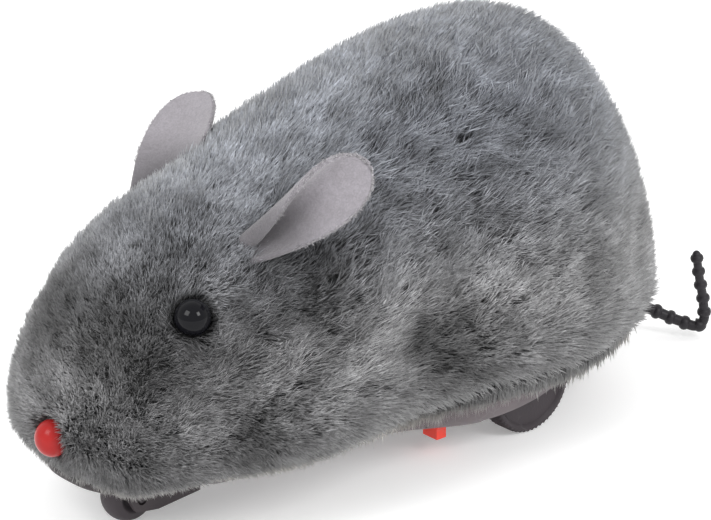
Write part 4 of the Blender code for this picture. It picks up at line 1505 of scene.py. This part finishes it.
def switch_cutters():
    """The slot for the knob's grip, and the bay for its flange above."""
    low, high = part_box("switch_knob")
    x, y = KNOB_FLANGE
    back = Vector((0, SWITCH_TRAVEL, 0))
    grow = Vector((1, 1, 0)) * PLAY
    grip_low = Vector((low.x + x, low.y + y, 0))
    grip_high = Vector((high.x - x, high.y - y, high.z))
    bay_low = Vector((low.x, low.y, high.z - FLANGE_THICK))
    return [box_cutter("cut_slot", grip_low - back - grow, grip_high + grow),
            box_cutter("cut_bay", bay_low - back - grow,
                       high + grow + Vector((0, 0, PLAY)))]


def screw_cutter(name):
    """The round recess that one screw's head sits in."""
    low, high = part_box(name)
    x, y, _ = middle(name)
    return round_cutter(f"cut_{name}", (high.x - low.x) / 2 + PLAY, 0,
                        low.z + SCREW_ROOM, (x, y, 0), None, 32)


def chassis_cutters():
    """Everything that is taken out of the tub."""
    made = [cut for side, sign in SIDES for cut in wheel_cutters(side, sign)]
    axle, girth = middle("rear_axle"), size("rear_axle")
    made.append(round_cutter("cut_axle", girth[2] / 2 + AXLE_CLEAR,
                             -girth[0] / 2, girth[0] / 2,
                             (0, axle[1], axle[2]), TO_X, 32))
    pivot = (0, PIVOT_Y, 0)
    made.append(round_cutter("cut_caster", CASTER_WELL, -MM,
                             FORK_PLATE_TOP + PLAY, pivot))
    made.append(round_cutter("cut_pin", FORK_PIN + PLAY, 0.0,
                             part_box("caster_fork")[1].z + PLAY, pivot,
                             sides=32))
    made += switch_cutters()
    low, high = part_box("battery_door")
    grow = Vector((1, 1, 1)) * DOOR_GAP
    made.append(box_cutter("cut_door", Vector((low.x, low.y, 0)) - grow,
                           high + grow))
    return made + [screw_cutter(name) for name in SCREWS]


# %% Build the chassis
def make_chassis():
    """The tub, its tail socket, and all its cuts."""
    mesh = tub_mesh(0.0, 240, 12, TUB_STEP)
    boss = round_cutter("boss", BOSS_RADIUS, TUB_REAR - 8 * MM, TUB_HIGH[1],
                        (0, 0, TAIL_Z), TO_Y, 48)
    mesh = carve(mesh, [boss], "UNION")
    bore = round_cutter("tail_bore", TAIL_BORE, TUB_HIGH[1] - 3.2 * MM,
                        TUB_HIGH[1] + MM, (0, 0, TAIL_Z), TO_Y, 32)
    mesh = carve(mesh, [*chassis_cutters(), bore])
    finish_shading(mesh, 30)
    return add_piece("chassis_tub", mesh, "body", CHASSIS_PLASTIC,
                     ("chassis",))


CHASSIS = make_chassis()
print("chassis faces:", len(CHASSIS.data.polygons))

# %% [markdown]
# ## Wheels
# A wheel is a half-section turned about its axle.  The rear tyres are cut
# with fine teeth: the radius of the tread rows dips between teeth, so the
# teeth are real and show on the outline.  The caster's little tyre is smooth
# and round.


# %% Turn a section about X
TEETH = 57
TOOTH_DEEP = 0.32 * MM


def turned_wheel(profile, centre, around, tread=None):
    """A closed wheel from (radius, x) points, turned about X.

    tread, if given, is (row mask, number of teeth, depth): those rows' radius
    is cut by depth * |sin(teeth * angle / 2)| to the power 0.8.
    """
    radius, across = np.array(profile).T
    angle = np.linspace(0.0, 2 * math.pi, around + 1)
    rows = np.broadcast_to(radius[:, None], (len(radius), around + 1)).copy()
    if tread is not None:
        mask, teeth, depth = tread
        cut = depth * np.abs(np.sin(teeth * angle / 2)) ** 0.8
        rows -= np.array(mask, float)[:, None] * cut[None]
    grid = np.stack([np.broadcast_to(across[:, None], rows.shape),
                     rows * np.cos(angle), rows * np.sin(angle)], axis=-1)
    return grid_mesh(grid + centre, 32)


def rear_profile(radius, outer, width):
    """Section of a rear wheel: a dished face, a bead and a flat tread."""
    face = outer - 0.5 * MM
    hub = 0.35 * radius
    points = [(0.0, outer - 0.2 * MM), (0.5 * hub, outer - 0.05 * MM),
              (hub, outer), (hub + 0.25 * MM, outer - 0.1 * MM),
              (hub + 0.5 * MM, face), (radius - 1.6 * MM, face),
              (radius - 1.25 * MM, outer - 0.1 * MM),
              (radius - 1.1 * MM, outer), (radius - 0.55 * MM, outer),
              (radius - 0.2 * MM, outer - 0.12 * MM),
              (radius, outer - 0.45 * MM)]
    shoulder = len(points) - 1
    inner = outer - width
    points += [(radius, x) for x in np.linspace(outer - 0.9 * MM,
                                                inner + 0.9 * MM, 5)]
    points += [(radius, inner + 0.45 * MM), (radius - 0.5 * MM, inner),
               (0.0, inner)]
    mask = [shoulder - 1 <= i < len(points) - 2 for i in range(len(points))]
    return points, mask


def make_rear_wheels():
    """The two driven wheels, riding with their axle."""
    for side, sign in SIDES:
        inner, outer, y, radius = wheel_place(side)
        profile, mask = rear_profile(radius, outer, outer - inner)
        section = [(r, sign * x) for r, x in profile]
        mesh = turned_wheel(section, (0.0, y, radius), TEETH * 8,
                            (mask, TEETH, TOOTH_DEEP))
        add_piece(f"drive_wheel_{side}", mesh, "rear_wheels", TYRE_RUBBER,
                  (f"rear_wheel_{side}",))


def make_caster_wheel():
    """The caster's round tyre, its hub and its pin, all one moulding."""
    low, high = corners("caster_wheel")
    radius, half = (high[2] - low[2]) / 2, 2.5 * MM
    end = high[0]
    hub, pin, dish = 2.3 * MM, 0.7 * MM, 0.8 * MM
    crown = [(radius - 1.6 * MM * (1 - math.cos(t)), half * math.sin(t))
             for t in np.radians(np.linspace(64, -64, 15))]
    face = [(0.0, end), (pin - 0.1 * MM, end), (pin, end - 0.1 * MM),
            (pin, half - dish), (hub - 0.2 * MM, half - dish),
            (hub, half - dish + 0.1 * MM), (hub + 0.5 * MM, half - 0.1 * MM),
            (hub + 0.8 * MM, half)]
    profile = face + crown + [(r, -x) for r, x in face[::-1]]
    mesh = turned_wheel(profile, (low + high) / 2, 96)
    add_piece("caster_tyre", mesh, "caster", TYRE_RUBBER,
              ("caster_wheel",))


make_rear_wheels()
make_caster_wheel()
print("wheels built")

# %% [markdown]
# ## Small moulded parts
# The fork, the switch knob and the battery door have their true shape in the
# frame.  Each is copied, its loose triangles are merged, its flat faces are
# joined, and a small bevel breaks every edge, as a mould would leave it.


# %% Copy a CAD piece and break its edges
def broken_edges(source, name, width, body, look):
    """A merged copy of a CAD node with bevelled edges, standing for it."""
    mesh = frame["nodes"][source].data.copy()
    bm = bmesh.new()
    bm.from_mesh(mesh)
    bmesh.ops.remove_doubles(bm, verts=bm.verts, dist=1e-6)
    bmesh.ops.dissolve_limit(bm, angle_limit=math.radians(1),
                             verts=bm.verts, edges=bm.edges)
    bm.to_mesh(mesh)
    bm.free()
    finish_shading(mesh, 30)
    piece = add_piece(name, mesh, body, look, (source,))
    bevel = piece.modifiers.new("edges", "BEVEL")
    bevel.width = width
    bevel.segments = 3
    bevel.limit_method = "ANGLE"
    bevel.angle_limit = math.radians(30)
    bevel.use_clamp_overlap = True
    bevel.harden_normals = True
    return piece


broken_edges("caster_fork", "fork_moulding", 0.18 * MM, "fork", FORK_PLASTIC)
broken_edges("switch_knob", "slide_knob", 0.16 * MM, "switch", KNOB_PLASTIC)
broken_edges("battery_door", "door_moulding", 0.15 * MM, "body",
             CHASSIS_PLASTIC)

# %% [markdown]
# ## Screws
# Five small screws close the chassis.  A head is a low dome with a cross
# sunk into it, worked out as a height over a round grid; the shank hangs
# from the same rings.


# %% Build the screws
SHANK_RADIUS = 0.9 * MM
HEAD_HIGH = 1.1 * MM


def screw_form(radius, shank, head, length):
    """Rings of a screw along +Z, head first: dome, cross, edge and shank."""
    around = 72
    p = np.linspace(0.0, 2 * math.pi, around + 1)
    rings = []
    for share in np.linspace(0.0, 1.0, 22):
        r = share * radius
        x, y = r * np.cos(p), r * np.sin(p)
        arm = np.minimum(np.abs(x), np.abs(y)) < 0.16 * radius
        depth = 0.55 * head * smooth(0.68 * radius - r, 0, 0.12 * radius)
        z = 0.28 * head * share ** 2 + np.where(arm, depth, 0.0)
        rings.append(np.stack([x, y, z], axis=-1))
    for r, z in ((radius, head), (shank, head), (shank, length), (0, length)):
        rings.append(np.stack([r * np.cos(p), r * np.sin(p),
                               np.full(around + 1, z)], axis=-1))
    return np.array(rings)


def make_screws():
    """Every screw in the place of its CAD node."""
    for name in SCREWS:
        low, high = corners(name)
        radius = (high[0] - low[0]) / 2
        grid = screw_form(radius, SHANK_RADIUS, HEAD_HIGH, high[2] - low[2])
        place = np.array([*middle(name)[:2], low[2]])
        add_piece(f"cross_{name}", grid_mesh(grid + place, 35), "body", STEEL,
                  (name,))


make_screws()
axle = frame["nodes"]["rear_axle"]
axle.data.materials.clear()
axle.data.materials.append(STEEL)
print("screws built")

# %% [markdown]
# ## The tail
# The tail is one soft moulding: a thin tapering rod that swells into rings
# at an even pitch and ends in a round knob.  A tube is carried along the
# tail's route, and its radius at each place is the rod's, or the ring's
# where one is near.

# %% Build the tail
TAIL_ROUTE = np.array([
    (0.0, 50.7, 9.0), (0.0, 56.5, 8.8), (1.3, 62.0, 7.5), (3.5, 67.2, 5.4),
    (6.0, 70.0, 3.7), (8.0, 71.7, 2.8), (9.7, 73.2, 2.4), (10.4, 74.1, 3.4),
    (10.4, 74.2, 5.4), (10.3, 73.9, 8.0), (10.1, 73.3, 11.0),
    (10.0, 72.6, 14.5), (10.0, 71.9, 18.2),
]) * MM
TAIL_PITCH = 2.9 * MM
TAIL_ROD = (1.25 * MM, 0.8 * MM)     # radius at the root and at the tip
TAIL_RING = (1.6 * MM, 1.25 * MM)
RING_HALF = 0.75 * MM
RINGS_FROM = 3.0 * MM                # from the root, where the rings begin
LAST_RING = 1.6 * MM                 # from the tip, the middle of the knob
TIP_ROUND = 0.9 * MM
ROOT_ROUND = 0.2 * MM


def tail_radius(s, length):
    """Radius at distance s: rod, ring swell, and a round end."""
    share = s / length
    rod = TAIL_ROD[0] + (TAIL_ROD[1] - TAIL_ROD[0]) * share
    ring = TAIL_RING[0] + (TAIL_RING[1] - TAIL_RING[0]) * share
    rings = np.arange(length - LAST_RING, RINGS_FROM, -TAIL_PITCH)
    near = np.abs(s[:, None] - rings).min(axis=1) / RING_HALF
    swell = np.sqrt(np.clip(1.0 - near ** 2, 0.0, 1.0)) ** 1.3
    end = np.sqrt(np.clip(1 - (1 - np.clip((length - s) / TIP_ROUND, 0, 1))
                          ** 2, 0.0, 1.0))
    start = np.clip(s / ROOT_ROUND, 0.0, 1.0)
    return (rod + (ring - rod) * swell) * end * start


def make_tail():
    """The tube about the route; its rows are square to the route."""
    chord = np.linalg.norm(np.diff(TAIL_ROUTE, axis=0), axis=1)
    knots = np.concatenate([[0.0], np.cumsum(chord)])
    length = knots[-1]
    s = np.linspace(0.0, length, 620)
    route = np.stack([spline(knots, c, s) for c in TAIL_ROUTE.T], axis=-1)
    ahead = unit(np.gradient(route, axis=0))
    side = unit(np.cross(ahead, (1.0, -0.4, 0.4)))
    over = np.cross(ahead, side)
    t = np.linspace(0.0, 2 * math.pi, 25)
    radius = tail_radius(s, length)[:, None, None]
    grid = (route[:, None] + radius * (np.cos(t)[None, :, None] * side[:, None]
                                       + np.sin(t)[None, :, None]
                                       * over[:, None]))
    return add_piece("ringed_tail", grid_mesh(grid), "body", TAIL_VINYL,
                     ("tail",))


TAIL = make_tail()
print("tail faces:", len(TAIL.data.polygons))

# %% [markdown]
# ## Light and floor
# A pale floor under soft studio light: a broad box high in front on each
# side, whose squares show on the beads, and an even white surround.

# %% Stage
for helper in [o for o in bpy.data.objects if o.name.startswith("cut_")
               or o.name in ("hull", "boss", "tail_bore")]:
    bpy.data.objects.remove(helper)

FLOOR_HALF = 1.6
FLOOR_GLOW = 0.25                    # the table glows, as one lit from below
LIGHTS = [  # name, azimuth, elevation, distance, width, height, watts
    ("softbox_left", 5.0, 42.0, 0.75, 0.34, 0.34, 2.2),
    ("softbox_right", 95.0, 38.0, 0.85, 0.26, 0.30, 2.6),
]


def direction(azimuth, elevation):
    """Unit vector from the toy towards an azimuth and elevation in degrees."""
    a, e = math.radians(azimuth), math.radians(elevation)
    return Vector((math.sin(a) * math.cos(e), -math.cos(a) * math.cos(e),
                   math.sin(e)))


def make_stage():
    """The floor, the lights and the surround."""
    look, tree, shader, places = finish_material("pale_floor", Roughness=0.9)
    cloud = place_group(tree, MOTTLE, Vector=places, Scale=3.0)
    tree.links.new(blend_colours(tree, cloud.outputs[0], grey(0.90),
                                 grey(0.92)), shader.inputs["Base Color"])
    shader.inputs["Emission Color"].default_value = grey(1.0)
    shader.inputs["Emission Strength"].default_value = FLOOR_GLOW
    square = np.array([(-1, -1, 0), (1, -1, 0), (1, 1, 0), (-1, 1, 0)])
    mesh = mesh_from(square * FLOOR_HALF, np.array([[0, 1, 2, 3]]))
    mesh.materials.append(look)
    floor = link_object("floor", mesh)
    aim = Vector((0, 0, 0.03))
    for name, azimuth, elevation, distance, wide, tall, watts in LIGHTS:
        lamp = bpy.data.lights.new(name, "AREA")
        lamp.shape = "RECTANGLE"
        lamp.size, lamp.size_y, lamp.energy = wide, tall, watts
        box = link_object(name, lamp)
        towards = direction(azimuth, elevation)
        box.location = aim + towards * distance
        box.rotation_mode = "QUATERNION"
        box.rotation_quaternion = towards.to_track_quat("Z", "Y")
    world = bpy.data.worlds.new("surround")
    world.use_nodes = True
    sky = world.node_tree.nodes["Background"].inputs
    sky["Color"].default_value, sky["Strength"].default_value = grey(1.0), 1.0
    bpy.context.scene.world = world
    bpy.context.scene.view_settings.view_transform = "Standard"


make_stage()

# %% [markdown]
# ## The camera
# The camera has a long lens, as for a small object on a table, and looks
# down on the toy's left front.

# %% Camera
CAMERA_AZIMUTH, CAMERA_ELEVATION = 49.27, 22.52
CAMERA_DISTANCE = 0.665
CAMERA_AIM = Vector((0, -8.7, 30.0)) * MM
CAMERA_ROLL = math.radians(-0.34)
SENSOR = 36.0
CAMERA_LENS = 190.6                  # mm on that sensor
CAMERA_SHIFT = (0.024, 0.0372)


def make_camera():
    """A long lens on the aim point, turned a hair about its own axis."""
    data = bpy.data.cameras.new("camera")
    data.sensor_width = SENSOR
    data.lens = CAMERA_LENS
    data.shift_x, data.shift_y = CAMERA_SHIFT
    data.clip_start, data.clip_end = 0.01, 20.0
    camera = link_object("camera", data)
    back = direction(CAMERA_AZIMUTH, CAMERA_ELEVATION)
    camera.location = CAMERA_AIM + back * CAMERA_DISTANCE
    camera.rotation_mode = "QUATERNION"
    turn = (-back).to_track_quat("-Z", "Y").to_matrix()
    turn = turn @ Matrix.Rotation(CAMERA_ROLL, 3, "Z")
    camera.rotation_quaternion = turn.to_quaternion()
    bpy.context.scene.camera = camera


make_camera()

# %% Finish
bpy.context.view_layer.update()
